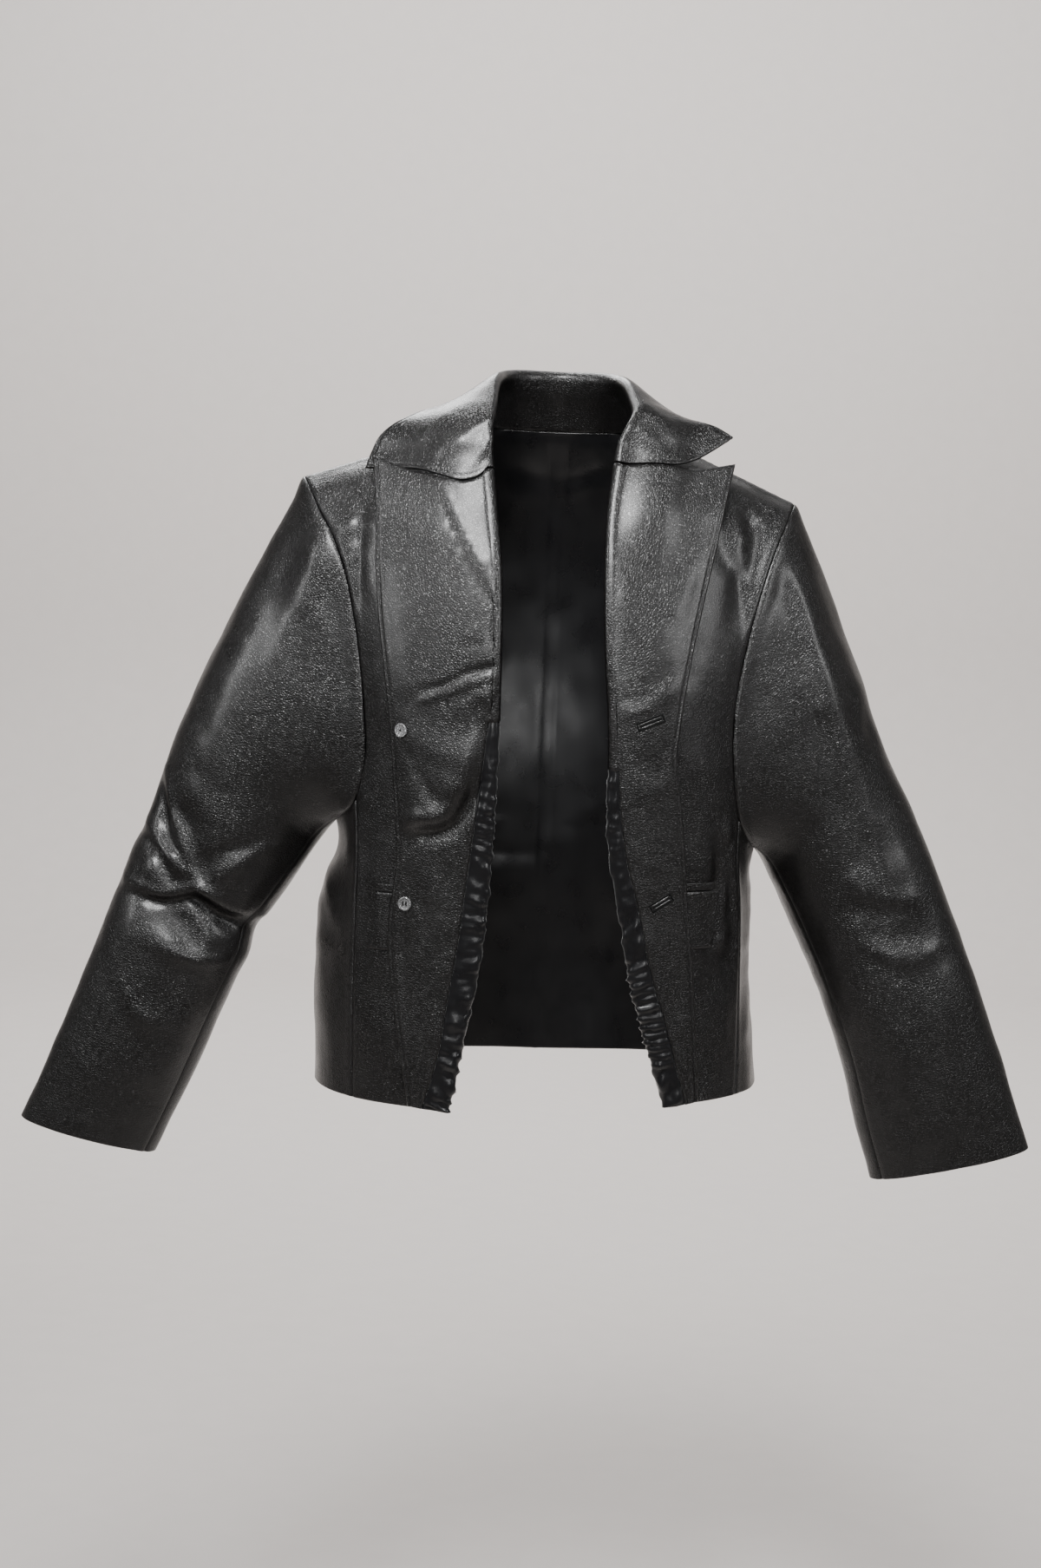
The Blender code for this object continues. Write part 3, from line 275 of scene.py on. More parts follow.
# Sleeve seams, counted round the armhole from the shoulder tip down the front
FRONT_CUT = ARM_ROWS + 1
HIND_CUT = ARM_ROWS + SIDE_COLUMNS + 3

# Collar: where its columns stand between neck seam (0) and outer edge (1)
COLLAR_PLACES = [0, 0.12, 0.23, 0.33, 0.4, 0.46, 0.54, 0.64, 0.76, 0.88, 1]
ROLL_PLACE = 0.4
NOTCH_COLUMN = OUTER_COLUMNS
GORGE_GAP = 1.1
GORGE_FADE = 0.17  # share of the collar's length over which its front end's shape fades out
NECK_LIFT = 1.7  # the collar's neck edge stands this far above the middle of the shell it is sewn to
NECK_SLANT = 90  # and leans with the shell, inwards, forwards in front and backwards behind


# ---------------------------------------------------------------- curves and sheets


def hermite(a, b, slope_a, slope_b, t):
    """A point between a and b at t from 0 to 1, leaving and arriving with the given slopes."""
    return (
        (2 * t**3 - 3 * t**2 + 1) * a
        + (t**3 - 2 * t**2 + t) * slope_a
        + (3 * t**2 - 2 * t**3) * b
        + (t**3 - t**2) * slope_b
    )


def curve(rows, knots=None):
    """A smooth curve through the rows, as a function of the share of its length, or of the knots given."""
    points = np.array(rows, float)
    if knots is None:
        knots = lengths_of(points)
    slopes = np.gradient(points, knots, axis=0)

    def at(share):
        share = min(max(share, knots[0]), knots[-1])
        i = min(int(np.searchsorted(knots, share, side="right")) - 1, len(knots) - 2)
        width = knots[i + 1] - knots[i]
        t = (share - knots[i]) / width
        return hermite(points[i], points[i + 1], slopes[i] * width, slopes[i + 1] * width, t)

    return at


def run_of(points):
    """How far along a line each of its points lies."""
    return np.concatenate([[0], np.cumsum(np.linalg.norm(np.diff(points, axis=0), axis=1))])


def lengths_of(points):
    """The same from 0 to 1."""
    run = run_of(points)
    return run / run[-1]


def column(rows, value):
    """The second column of a table at a value of its first."""
    table = np.array(rows, float)
    return float(np.interp(value, table[:, 0], table[:, 1]))


def unit(vector):
    return vector / max(float(np.linalg.norm(vector)), 1e-12)


def units(vectors):
    """Each vector of a grid made one long."""
    return vectors / np.maximum(np.linalg.norm(vectors, axis=2, keepdims=True), 1e-12)


def mirrored(rows, sign):
    """Rows given outwards from the centre line, put on their own side."""
    return [(sign * row[0], *row[1:]) for row in rows]


def smooth(t):
    t = min(max(t, 0.0), 1.0)
    return t * t * (3 - 2 * t)


class Sheet:
    """A grid of points on the middle of a cloth, rows by columns; points that are not a number are left out."""

    def __init__(self, points, flip=False):
        self.points = np.array(points, float)
        self.valid = ~np.isnan(self.points[..., 0])
        self.flip = flip
        self.refresh()

    def refresh(self):
        """The normals again, after the points have moved."""
        self.normals = self.face_normals()
        self.lean = self.normals.copy()

    def cells(self):
        rows, columns = self.valid.shape
        for r in range(rows - 1):
            for c in range(columns - 1):
                if self.valid[r : r + 2, c : c + 2].all():
                    yield (r, c), (r, c + 1), (r + 1, c + 1), (r + 1, c)

    def face_normals(self):
        normals = np.zeros_like(self.points)
        for cell in self.cells():
            a, b, c, d = (self.points[p] for p in cell)
            normal = unit(np.cross(c - a, d - b))
            for p in cell:
                normals[p] += normal
        return units(-normals if self.flip else normals)

    def layer(self, height, rows=slice(None), columns=slice(None), keep=None):
        """A sheet made of this one's points moved out by a height; keep is a mask of the points it has."""
        points = self.points[rows, columns] + self.lean[rows, columns] * height
        if keep is not None:
            points[~keep] = np.nan
        return Sheet(points, self.flip)


def fold_depth(point, folds):
    """How far the folds move a point out: each is deepest in its middle and fades to its ends and sides."""
    depth = 0.0
    for x_0, z_0, x_1, z_1, height, half_width in folds:
        run = np.array([x_1 - x_0, z_1 - z_0])
        offset = np.array([point[0] - x_0, point[2] - z_0])
        share = min(max(float(offset @ run) / float(run @ run), 0), 1)
        aside = float(np.linalg.norm(offset - run * share)) / half_width
        depth += height * math.sin(math.pi * (0.12 + 0.76 * share)) * math.exp(-1.6 * aside * aside)
    return depth


def press_folds(sheet, folds, first_column=1):
    """Presses the named folds into a sheet along its own normals, clear of its edges."""
    rows, columns = sheet.valid.shape
    moved = sheet.points.copy()
    for r in range(1, rows - 1):
        for c in range(first_column, columns - 1):
            if sheet.valid[r, c]:
                moved[r, c] += sheet.normals[r, c] * fold_depth(sheet.points[r, c], folds)
    sheet.points = moved
    sheet.refresh()


# ---------------------------------------------------------------- the body's panels

SPLIT = 0.46  # share of a panel's height at the top of its side seam
GORGE = 0.87  # and at the gorge


def ring_y(x, across, along):
    """How far from the middle plane a body row is at x; across and along are its two axes to the power -n."""
    return (max(1 - across * abs(x) ** RING_EXPONENT, 0) / along) ** (1 / RING_EXPONENT)


def axis(known, other, other_axis):
    """The axis that makes a row pass a point at the distances known and other; other_axis goes with other."""
    return max(1 - other_axis * abs(other) ** RING_EXPONENT, 1e-9) / max(abs(known), 1e-6) ** RING_EXPONENT


class Body:
    """The jacket's edges and rows on one side."""

    def __init__(self, name):
        self.name = name
        side = self.side = SIDES[name]
        sign = self.sign = side["sign"]
        self.fold = self.outline("fold")
        self.neckline = self.outline("neckline")
        self.centre = curve(CENTRE_BACK)
        self.seams = {part: curve(side[part]) for part in ("front_seam", "back_seam")}
        front_top, back_top = self.seam_point("front_seam", 1), self.seam_point("back_seam", 1)
        self.armhole_front = curve([front_top, *mirrored(side["armhole_front"], sign)])
        self.armhole_under = curve([front_top, *mirrored(side["armhole_under"], sign), back_top])
        self.armhole_back = curve([back_top, *mirrored(side["armhole_back"], sign)])

    def outline(self, part):
        """One of the lines given for this side."""
        return curve(mirrored(self.side[part], self.sign))

    def inner_edge(self, v):
        return self.fold(v / GORGE) if v <= GORGE else self.neckline((v - GORGE) / (1 - GORGE))

    def row_axes(self, v, z):
        """The row's axes to the power -n: across, along to the front and along to the back."""
        across = column(self.side["body_width"], z) ** -RING_EXPONENT
        fold_x, fold_y, _ = self.inner_edge(v)
        return across, axis(fold_y, fold_x, across), self.centre(v)[1] ** -RING_EXPONENT

    def seam_point(self, part, share):
        """A point of a side seam: its x and z are given, and it lies on the body's row."""
        x, z = self.seams[part](share)
        across, to_front, to_back = self.row_axes(share * SPLIT, z)
        if part == "front_seam":
            return np.array([self.sign * x, -ring_y(x, across, to_front), z])
        return np.array([self.sign * x, ring_y(x, across, to_back), z])

    def outer_edge(self, part, v):
        """The far edge of a front or back panel: its seam, then the armhole."""
        if v <= SPLIT:
            return self.seam_point(part + "_seam", v / SPLIT)
        armhole = self.armhole_front if part == "front" else self.armhole_back
        return armhole((v - SPLIT) / (1 - SPLIT))


def straightening(v):
    """How far a row has given up the body's round for the straight of the shoulder seam."""
    return smooth((v - 0.72) / 0.28)


def back_shares():
    """The back's rows beside the armhole, closer together towards the shoulder."""
    return 1 - (1 - np.linspace(0, 1, ARM_ROWS + 1)) ** 1.2


class Front(Body):
    """A forepart's surface, and the turned-back part that lies on it."""

    def __init__(self, name):
        super().__init__(name)
        self.edge_curve = self.outline("lapel_edge")
        self.edge_places = {}

    def at(self, u, v):
        start, end = self.inner_edge(v), self.outer_edge("front", v)
        chord = start + (end - start) * u
        straight = straightening(v) ** 1.6
        if straight >= 1:
            return chord
        power = RING_EXPONENT
        terms = np.abs([start[:2], end[:2]]) ** power
        across, along = np.linalg.solve(terms, np.ones(2))
        y = -ring_y(chord[0], across, along) if across > 0 and along > 0 else chord[1]
        return np.array([chord[0], chord[1] * straight + y * (1 - straight), chord[2]])

    def normal(self, u, v):
        step = 0.004
        u_0, u_1 = max(u - step, 0), min(u + step, 1)
        v_0, v_1 = max(v - step, 0), min(v + step, 1)
        across = self.at(u_1, v) - self.at(u_0, v)
        upwards = self.at(u, v_1) - self.at(u, v_0)
        return unit(np.cross(across, upwards)) * self.sign

    def lifted(self, u, v, lift):
        return self.at(u, v) + self.normal(u, v) * lift

    def place(self, x, z, lift, start):
        """The panel's own (u, v) under a point seen from the front at x and z, lifted off the panel."""
        guess = np.array(start, float)
        step = 1e-3
        for _ in range(12):
            here = self.lifted(*guess, lift)[[0, 2]]
            miss = np.array([x, z]) - here
            if np.abs(miss).max() < 0.02:
                break
            slope_u = (self.lifted(guess[0] + step, guess[1], lift)[[0, 2]] - here) / step
            slope_v = (self.lifted(guess[0], guess[1] + step, lift)[[0, 2]] - here) / step
            change = np.linalg.solve(np.array([slope_u, slope_v]).T, miss)
            guess = np.clip(guess + np.clip(change, -0.15, 0.15), [0.0, 0.0], [0.995, 0.995])
        return guess

    def edge_place(self, v):
        """Where the turned-back part's outer edge lies on the panel, for the row that folds at v."""
        key = round(v, 6)
        if key not in self.edge_places:
            share = v / GORGE
            x, z = self.edge_curve(share)
            self.edge_places[key] = self.place(x, z, column(self.side["edge_lift"], share), (0.6, v))
        return self.edge_places[key]

    def turned(self, v, share):
        """A point on the middle of the turned-back part: share runs from the fold to the outer edge."""
        edge_u, edge_v = self.edge_place(v)
        height = v / GORGE
        near_top = smooth((height - 0.86) / 0.14)
        dip = self.side["gorge_dip"] * near_top * math.sin(math.pi * share**0.8)
        crest = self.side["roll_crest"] * smooth((height - 0.8) / 0.2)
        crest *= math.exp(-(((share - 0.36) / 0.14) ** 2))
        rise = column(self.side["edge_lift"], height) - 2 * BEND_RADIUS
        lift = 2 * BEND_RADIUS + rise * share**1.6 + 2.5 * math.sin(math.pi * share) + crest
        return self.lifted(edge_u * share, v + (edge_v - v) * share - dip, lift)

    def bend(self, v, share):
        """A point on the half circle of the bend: share runs from the turned-back side to the forepart."""
        turn = math.pi * (1 - share)
        base, normal = self.at(0, v), self.normal(0, v)
        outwards = unit(base - self.at(0.02, v))
        return base + normal * BEND_RADIUS * (1 - math.cos(turn)) + outwards * BEND_RADIUS * math.sin(turn)

    def turned_shares(self, v):
        """The turned-back part's columns, outer edge first, down to the lining's seam."""
        width = float(np.linalg.norm(self.turned(v, 1) - self.turned(v, 0)))
        quarter = BEND_RADIUS * math.pi / 2
        seam = (column(self.side["lining_seam"], v / GORGE) - quarter) / width
        notch = max(NOTCH_SHARE, seam + 0.18)
        outer = [notch + (1 - notch) * k / OUTER_COLUMNS for k in range(OUTER_COLUMNS, 0, -1)]
        return [*outer, notch, (notch + seam) / 2, seam]


def front_rows():
    low = np.linspace(0, SPLIT, SEAM_ROWS + 1)
    middle = np.linspace(SPLIT, GORGE, ARM_ROWS_LOW + 1)
    high = np.linspace(GORGE, 1, ARM_ROWS_HIGH + 1)
    return np.concatenate([low, middle[1:], high[1:]])


GORGE_ROW = SEAM_ROWS + ARM_ROWS_LOW
LEAD_COLUMNS = TURNED_COLUMNS + 1 + BEND_COLUMNS  # turned-back part, where the bend starts, and the bend


def front_sheet(front):
    """Turned-back part, bend and forepart in one grid; above the gorge only the forepart goes on."""
    rows = []
    for v in front_rows():
        lead = [np.full(3, np.nan)] * LEAD_COLUMNS
        if v <= GORGE + 1e-9:
            lead = [front.turned(v, share) for share in [*front.turned_shares(v), 0]]
            lead += [front.bend(v, (k + 1) / (BEND_COLUMNS + 1)) for k in range(BEND_COLUMNS)]
        rows.append(lead + [front.at(u, v) for u in np.linspace(0, 1, FRONT_COLUMNS + 1)])
    return Sheet(rows, flip=front.sign < 0)


def side_sheet(body):
    """The side panel: its rows go round the body's widest point and end at the bottom of the armhole."""
    grid = []
    for share in np.linspace(0, 1, SEAM_ROWS + 1):
        start, end = body.seam_point("front_seam", share), body.seam_point("back_seam", share)
        across, to_front, to_back = body.row_axes(share * SPLIT, start[2])
        power = RING_EXPONENT / 2
        first = -math.atan2(abs(start[1]) ** power * to_front**0.5, abs(start[0]) ** power * across**0.5)
        last = math.atan2(abs(end[1]) ** power * to_back**0.5, abs(end[0]) ** power * across**0.5)
        give = smooth((share - 0.62) / 0.38)
        low_start, low_end = body.armhole_under(0), body.armhole_under(1)
        row = []
        for u in np.linspace(0, 1, SIDE_COLUMNS + 1):
            turn = first + (last - first) * u
            x = (math.cos(turn) ** 2 / across) ** (1 / RING_EXPONENT)
            y = (math.sin(turn) ** 2 / (to_front if turn < 0 else to_back)) ** (1 / RING_EXPONENT)
            on_body = np.array([body.sign * x, math.copysign(y, turn), start[2] + (end[2] - start[2]) * u])
            under = body.armhole_under(u) + (start - low_start) * (1 - u) + (end - low_end) * u
            row.append(on_body * (1 - give) + under * give)
        grid.append(row)
    return Sheet(grid, flip=body.sign < 0)


def back_top(bodies):
    """The back's top edge: shoulder seam, back neckline, shoulder seam, from right to left, and its columns."""
    tips = {name: body.outer_edge("back", 1) for name, body in bodies.items()}
    points = []
    for k in range(FRONT_COLUMNS + 1):
        share = k / FRONT_COLUMNS
        points.append(tips["right"] + (bodies["right"].neckline(1) - tips["right"]) * share)
    for k in range(1, NECK_COLUMNS):
        turn = math.pi * k / NECK_COLUMNS
        x = -NECK_POINT[0] * math.cos(turn)
        points.append(np.array([x, BACK_NECK[1] * math.sin(turn) ** 0.9, BACK_NECK[2] * math.sin(turn)]))
    for k in range(FRONT_COLUMNS + 1):
        share = k / FRONT_COLUMNS
        points.append(bodies["left"].neckline(1) * (1 - share) + tips["left"] * share)
    return np.array(points)


def back_sheet(bodies):
    top = back_top(bodies)
    grid = []
    for v in np.concatenate([np.linspace(0, SPLIT, SEAM_ROWS + 1), SPLIT + (1 - SPLIT) * back_shares()[1:]]):
        centre = bodies["right"].centre(v)
        straight = straightening(v)
        give = np.array([straight, straight**2.4, straight])
        row = []
        for point in top:
            body = bodies["right"] if point[0] < 0 else bodies["left"]
            tip, end = body.outer_edge("back", 1), body.outer_edge("back", v)
            out = abs(point[0] / tip[0])
            to_back = max(centre[1], 1) ** -RING_EXPONENT
            y = ring_y(end[0] * out, axis(end[0], end[1], to_back), to_back)
            z = end[2] + (centre[2] - end[2]) * (1 - out**1.5)
            like_top = point + (end - tip) * out + (centre - np.array(BACK_NECK)) * (1 - out)
            row.append(np.array([end[0] * out, y, z]) * (1 - give) + like_top * give)
        grid.append(row)
    return Sheet(grid, flip=True)


# ---------------------------------------------------------------- sleeves


def armhole_loop(body):
    """The armhole's points, from the shoulder tip down the front, under the arm and up the back to the tip."""
    front = [body.outer_edge("front", v) for v in front_rows()[SEAM_ROWS:]][::-1]
    under = [body.armhole_under(share) for share in np.linspace(0, 1, SIDE_COLUMNS + 1)]
    back = [body.armhole_back(share) for share in back_shares()]
    return np.array(front + under[1:] + back[1:])


def sleeve_grid(body):
    """Rings down the sleeve, each with the armhole's number of points; the last point repeats the first."""
    outer, inner = body.outline("sleeve_outer"), body.outline("sleeve_inner")
    loop = armhole_loop(body)
    table = np.array(SLEEVE_RINGS, float)
    knots = np.linspace(0, 1, len(table))

    middle = (outer(0) + inner(0)) / 2
    reach = outer(0) - middle
    heights = np.clip((loop[:, [0, 2]] - middle) @ reach / (reach @ reach), -1, 1)
    turns = np.arccos(heights)
    lowest = int(np.argmin(heights))
    turns[lowest + 1 :] = 2 * math.pi - turns[lowest + 1 :]
    turns[0], turns[-1] = 0, 2 * math.pi
    even = np.linspace(0, 2 * math.pi, len(loop))

    def ring(share, turn):
        along_outer, along_inner, depth, middle_y = (np.interp(share, knots, table[:, k]) for k in range(4))
        top, low = outer(along_outer), inner(along_inner)
        power = 2 / SLEEVE_EXPONENT
        cosine, sine = math.cos(turn), math.sin(turn)
        flat = (top + low) / 2 + (top - low) / 2 * math.copysign(abs(cosine) ** power, cosine)
        return np.array([flat[0], middle_y - depth * math.copysign(abs(sine) ** power, sine), flat[1]])

    grid = []
    for share in np.linspace(0, 1, SLEEVE_ROWS + 1):
        keep = 1 - smooth(share / CAP_FADE)
        evened = smooth(share / EVEN_BY)
        now = turns * (1 - evened) + even * evened
        grid.append([ring(share, turn) + (loop[i] - ring(0, turns[i])) * keep for i, turn in enumerate(now)])
    return np.array(grid)


def sleeve_sheets(body):
    """Top and under sleeve: the front seam runs down inside the forearm, the hind seam down behind the arm."""
    flip = body.sign < 0
    whole = Sheet(sleeve_grid(body), flip)
    joint = whole.normals[:, 0] + whole.normals[:, -1]
    whole.normals[:, 0] = whole.normals[:, -1] = joint / np.linalg.norm(joint, axis=1, keepdims=True)
    grid = whole.points.copy()
    for r in range(1, SLEEVE_ROWS):
        behind = whole.points[r, :, 1].mean() + 20
        for c in range(grid.shape[1]):
            if grid[r, c, 1] < behind:
                grid[r, c] += whole.normals[r, c] * fold_depth(whole.points[r, c], FOLDS["sleeve_" + body.name])
    under = Sheet(grid[:, FRONT_CUT : HIND_CUT + 1], flip)
    top = Sheet(np.concatenate([grid[:, HIND_CUT:], grid[:, 1 : FRONT_CUT + 1]], axis=1), flip)
    return top, under


# ---------------------------------------------------------------- what lies on the fronts


def facing_sheet(front, sheet):
    """On the turned-back part as far as the lining's seam; above the lining's top it goes on round the bend."""
    keep = np.ones((GORGE_ROW + 1, LEAD_COLUMNS + 2), bool)
    keep[: front.side["lining_top_row"], TURNED_COLUMNS:] = False
    height = -(SHELL_THICK + FACING_THICK) / 2 - LAYER_GAP
    return sheet.layer(height, slice(0, GORGE_ROW + 1), slice(0, LEAD_COLUMNS + 2), keep)


def on_front(front, rows, lift):
    """Points seen from the front at x and z, put on the forepart and lifted."""
    grid, start = [], (0.5, 0.35)
    for row in rows:
        line = []
        for x, z in row:
            start = front.place(x, z, lift, start)
            line.append(front.lifted(*start, lift))
        grid.append(line)
    return Sheet(grid, flip=front.sign < 0)


def pocket_rows(front, low, high, row_count):
    """Rows across the pocket from low to high, measured up from the flap's upper edge."""
    x_upper, z_upper, x_lower = front.side["flap"]
    rows = []
    for height in np.linspace(low, high, row_count + 1):
        x_outer = x_upper - (x_lower - x_upper) * min(height, 0) / FLAP_DEPTH
        shares = np.linspace(1, 0, POCKET_COLUMNS + 1)
        rows.append([(front.sign * (x_outer - FLAP_WIDTH * share), z_upper + height) for share in shares])
    return rows


def button_places(front, z):
    """Where a button sits at a height, in from the turned-back part's edge: the point and its normal."""
    shares = np.linspace(0.02, 0.98, 60)
    heights = [front.turned(share * GORGE, 1)[2] for share in shares]
    v = float(np.interp(z, heights, shares)) * GORGE

    def at(inset):
        edge_point, fold_point = front.turned(v, 1), front.turned(v, 0)
        share = 1 - inset / float(np.linalg.norm(edge_point - fold_point))
        here = front.turned(v, share)
        across = front.turned(v, min(share + 0.03, 1)) - front.turned(v, share - 0.03)
        upwards = front.turned(v + 0.01, share) - front.turned(v - 0.01, share)
        return here, unit(np.cross(across, upwards)) * front.sign

    return at


# ---------------------------------------------------------------- collar


def neck_line(fronts):
    """The body's neckline, from the right gorge round the back to the left one."""
    shares = np.linspace(0, 1, 30)
    right = [fronts["right"].neckline(share) for share in shares]
    left = [fronts["left"].neckline(share) for share in shares[::-1]]
    return np.array([*right, *back_top(fronts)[FRONT_COLUMNS + 1 : -FRONT_COLUMNS - 1], *left])


def nearest_on(line, point):
    """The nearest point of a line made of short straight runs."""
    start, run = line[:-1], np.diff(line, axis=0)
    share = np.clip(((point - start) * run).sum(axis=1) / (run * run).sum(axis=1), 0, 1)
    found = start + run * share[:, None]
    return found[np.argmin(np.linalg.norm(found - point, axis=1))]


def collar_sheets(fronts, facings):
    """Top collar and under collar: sections from the right gorge round the neck to the left one."""
    seam_line = neck_line(fronts)
    stations = [np.array(mirrored(station, -1), float) for station in SIDES["right"]["collar"]]
    stations += [np.array(mirrored(station, 1), float) for station in SIDES["left"]["collar"]][-2::-1]
    stations = np.array(stations)
    knots = lengths_of(stations[:, 1])
    neck, roll, outer = (curve(stations[:, k], knots) for k in range(3))

    def section(share):
        n, r, e = nearest_on(seam_line, neck(share)), roll(share), outer(share)
        n = n + np.array([-n[0] / NECK_SLANT, n[1] / NECK_SLANT, 1]) * NECK_LIFT
        over = unit(e - n)
        stand, fall = float(np.linalg.norm(r - n)), float(np.linalg.norm(e - r))
        points = []
        for c in COLLAR_PLACES:
            if c < ROLL_PLACE:
                points.append(hermite(n, r, (r - n) * 1.1, over * stand * 0.9, c / ROLL_PLACE))
            else:
                points.append(hermite(r, e, over * fall * 0.5, e - r, (c - ROLL_PLACE) / (1 - ROLL_PLACE)))
        return np.array(points)

    def gorge_section(name):
        """The collar's front end: along the top of facing and bend to the notch, then free to its tip."""
        facing = facings[name]
        top_row = facing.points[GORGE_ROW]
        upwards = facing.points[GORGE_ROW] - facing.points[GORGE_ROW - 1]
        seam = [top_row[c] + unit(upwards[c]) * GORGE_GAP for c in range(LEAD_COLUMNS, NOTCH_COLUMN - 1, -1)]
        seam[0] = seam[0] + np.array([-SIDES[name]["sign"], 0, 0.7]) * GORGE_GAP  # clear of the neckline
        free = [
            top_row[NOTCH_COLUMN - 1 - k] + np.array([out * SIDES[name]["sign"], back, up], float)
            for k, (out, back, up) in enumerate(SIDES[name]["collar_end"])
        ]
        return np.array(seam + free)

    ends = {name: gorge_section(name) for name in SIDES}
    grid = []
    for share in np.linspace(0, 1, COLLAR_ROWS + 1):
        points = section(share)
        for name, own_share in (("right", share), ("left", 1 - share)):
            keep = 1 - smooth(own_share / GORGE_FADE)
            start = section(0.0 if name == "right" else 1.0)
            points = points + (ends[name] - start) * keep
        grid.append(points)
    top = Sheet(grid, flip=True)
    return top, top.layer(-COLLAR_THICK - LAYER_GAP)


# ---------------------------------------------------------------- fine surfaces

CLOSE_STEPS = np.array([0, 0.07, 0.13, 0.2, 0.29, 0.4, 0.55, 0.77, 1.0])  # of an old cell beside an edge
RIM_ROUND = 0.4  # share of a wall's thickness by which its faces stop short of its rim
STITCH_INSET = 3.6  # topstitching, in from a free edge
SAME = 1e-9  # rows or columns closer than this lie at the same place


def spline(values, knots, at):
    """Values along the first axis, smoothly between their knots."""
    slopes = np.gradient(values, knots, axis=0)
    i = np.clip(np.searchsorted(knots, at, side="right") - 1, 0, len(knots) - 2)
    shape = (-1, *[1] * (values.ndim - 1))
    width = (knots[i + 1] - knots[i]).reshape(shape)
    t = ((at - knots[i]) / (knots[i + 1] - knots[i])).reshape(shape)
    return hermite(values[i], values[i + 1], slopes[i] * width, slopes[i + 1] * width, t)


def mean_run(points, axis):
    """Mean distance along the rows (axis 0) or the columns (axis 1) of a grid."""
    steps = np.linalg.norm(np.diff(points, axis=axis), axis=2)
    return np.concatenate([[0], np.cumsum(np.nanmean(steps, axis=1 - axis))])


def finer(points, axis, at, knots=None):
    """The grid with new rows (axis 0) or columns (axis 1) at the given places, counted in old ones."""
    if knots is None:
        knots = mean_run(points, axis)
    at_run = np.interp(at, np.arange(len(knots)), knots)
    if axis == 1:
        return spline(points.transpose(1, 0, 2), knots, at_run).transpose(1, 0, 2)
    return spline(points, knots, at_run)


def steps(counts, first=False, last=False):
    """Places between old rows or columns: counts gives the new cells in each old one; the first and the last
    old cell are divided more closely towards the edge where asked."""
    places = [0.0]
    for i, count in enumerate(counts):
        cell = np.linspace(0, 1, count + 1)[1:]
        if i == 0 and first:
            cell = CLOSE_STEPS[1:]
        if i == len(counts) - 1 and last:
            cell = 1 - CLOSE_STEPS[::-1][1:]
        places += list(i + cell)
    return np.array(places)


class Cloth:
    """A fine grid on the middle of a cloth, its normals to the outside and its distances from its edges."""

    def __init__(self, points, flip):
        self.points, self.flip = points, flip
        self.valid = ~np.isnan(points[..., 0])
        self.measure()

    def measure(self):
        p = self.points
        along_row = np.nan_to_num(np.linalg.norm(np.diff(p, axis=1), axis=2))
        along_column = np.nan_to_num(np.linalg.norm(np.diff(p, axis=0), axis=2))
        self.from_first = np.pad(np.cumsum(along_row, axis=1), ((0, 0), (1, 0)))
        self.from_last = self.from_first[:, -1:] - self.from_first
        self.from_bottom = np.pad(np.cumsum(along_column, axis=0), ((1, 0), (0, 0)))
        self.from_top = self.from_bottom[-1:] - self.from_bottom
        cell = np.cross(p[1:, 1:] - p[:-1, :-1], p[1:, :-1] - p[:-1, 1:])
        cell = np.nan_to_num(units(cell))
        normals = np.zeros_like(p)
        normals[:-1, :-1] += cell
        normals[1:, 1:] += cell
        normals[1:, :-1] += cell
        normals[:-1, 1:] += cell
        self.normals = units(-normals if self.flip else normals)

    def push(self, heights):
        """Moves the grid out along its normals."""
        self.points = self.points + self.normals * heights[..., None]
        self.measure()
        return self

    def layer(self, height, rows=slice(None), columns=slice(None), keep=None):
        points = self.points[rows, columns] + self.normals[rows, columns] * height
        if keep is not None:
            points[~keep] = np.nan
        return Cloth(points, self.flip)


def bump(distance, place, width):
    return np.exp(-(((distance - place) / width) ** 2))


WAVES = 7  # how many waves, each its own way, make a ripple


def ripple(points, wavelength, seed):
    """Uneven waves of about the given length, from -1 to 1."""
    rng = np.random.default_rng(seed)
    total = np.zeros(points.shape[:2])
    for _ in range(WAVES):
        direction = rng.normal(size=3)
        direction /= np.linalg.norm(direction)
        length = wavelength * rng.uniform(0.7, 1.5)
        total += np.sin(points @ direction * 2 * math.pi / length + rng.uniform(0, 6.28))
    return total / (WAVES / 2)


def crease(points, line, height, width, dip=0.0):
    """What one crease adds: a ridge (or a trough, where the height is negative) along a line seen from the
    front, fading to its ends, with a dip on its right-hand side. The width may be a pair, left and right."""
    path = curve(line)
    places = np.array([path(share) for share in np.linspace(0, 1, 6 * len(line))])
    flat = points[..., [0, 2]]
    nearest = np.full(flat.shape[:2], 1e9)
    share, aside = np.zeros_like(nearest), np.zeros_like(nearest)
    for k, (start, end) in enumerate(zip(places[:-1], places[1:])):
        run, offset = end - start, flat - start
        t = np.clip(offset @ run / max(run @ run, 1e-9), 0, 1)
        away = offset - t[..., None] * run
        distance = np.linalg.norm(away, axis=2)
        closer = distance < nearest
        side = np.sign(run[0] * away[..., 1] - run[1] * away[..., 0])
        nearest = np.where(closer, distance, nearest)
        share = np.where(closer, (k + t) / (len(places) - 1), share)
        aside = np.where(closer, -side * distance, aside)
    seed = abs(line[0][0] * 7 + line[0][1] * 3)
    fade = np.sin(math.pi * (0.05 + 0.9 * share)) ** 0.8
    uneven = 1 + 0.25 * np.sin(share * 9 + seed) + 0.12 * np.sin(share * 23 + seed)
    left, right = width if isinstance(width, tuple) else (width, width)
    s = aside / (np.where(aside < 0, left, right) * (1 + 0.25 * np.sin(share * 7 + seed)))
    ridge = np.exp(-1.1 * np.abs(s) ** 1.5)
    return 1.35 * height * fade * uneven * (ridge - dip * np.exp(-(((s - 1.7) / 1.0) ** 2)))


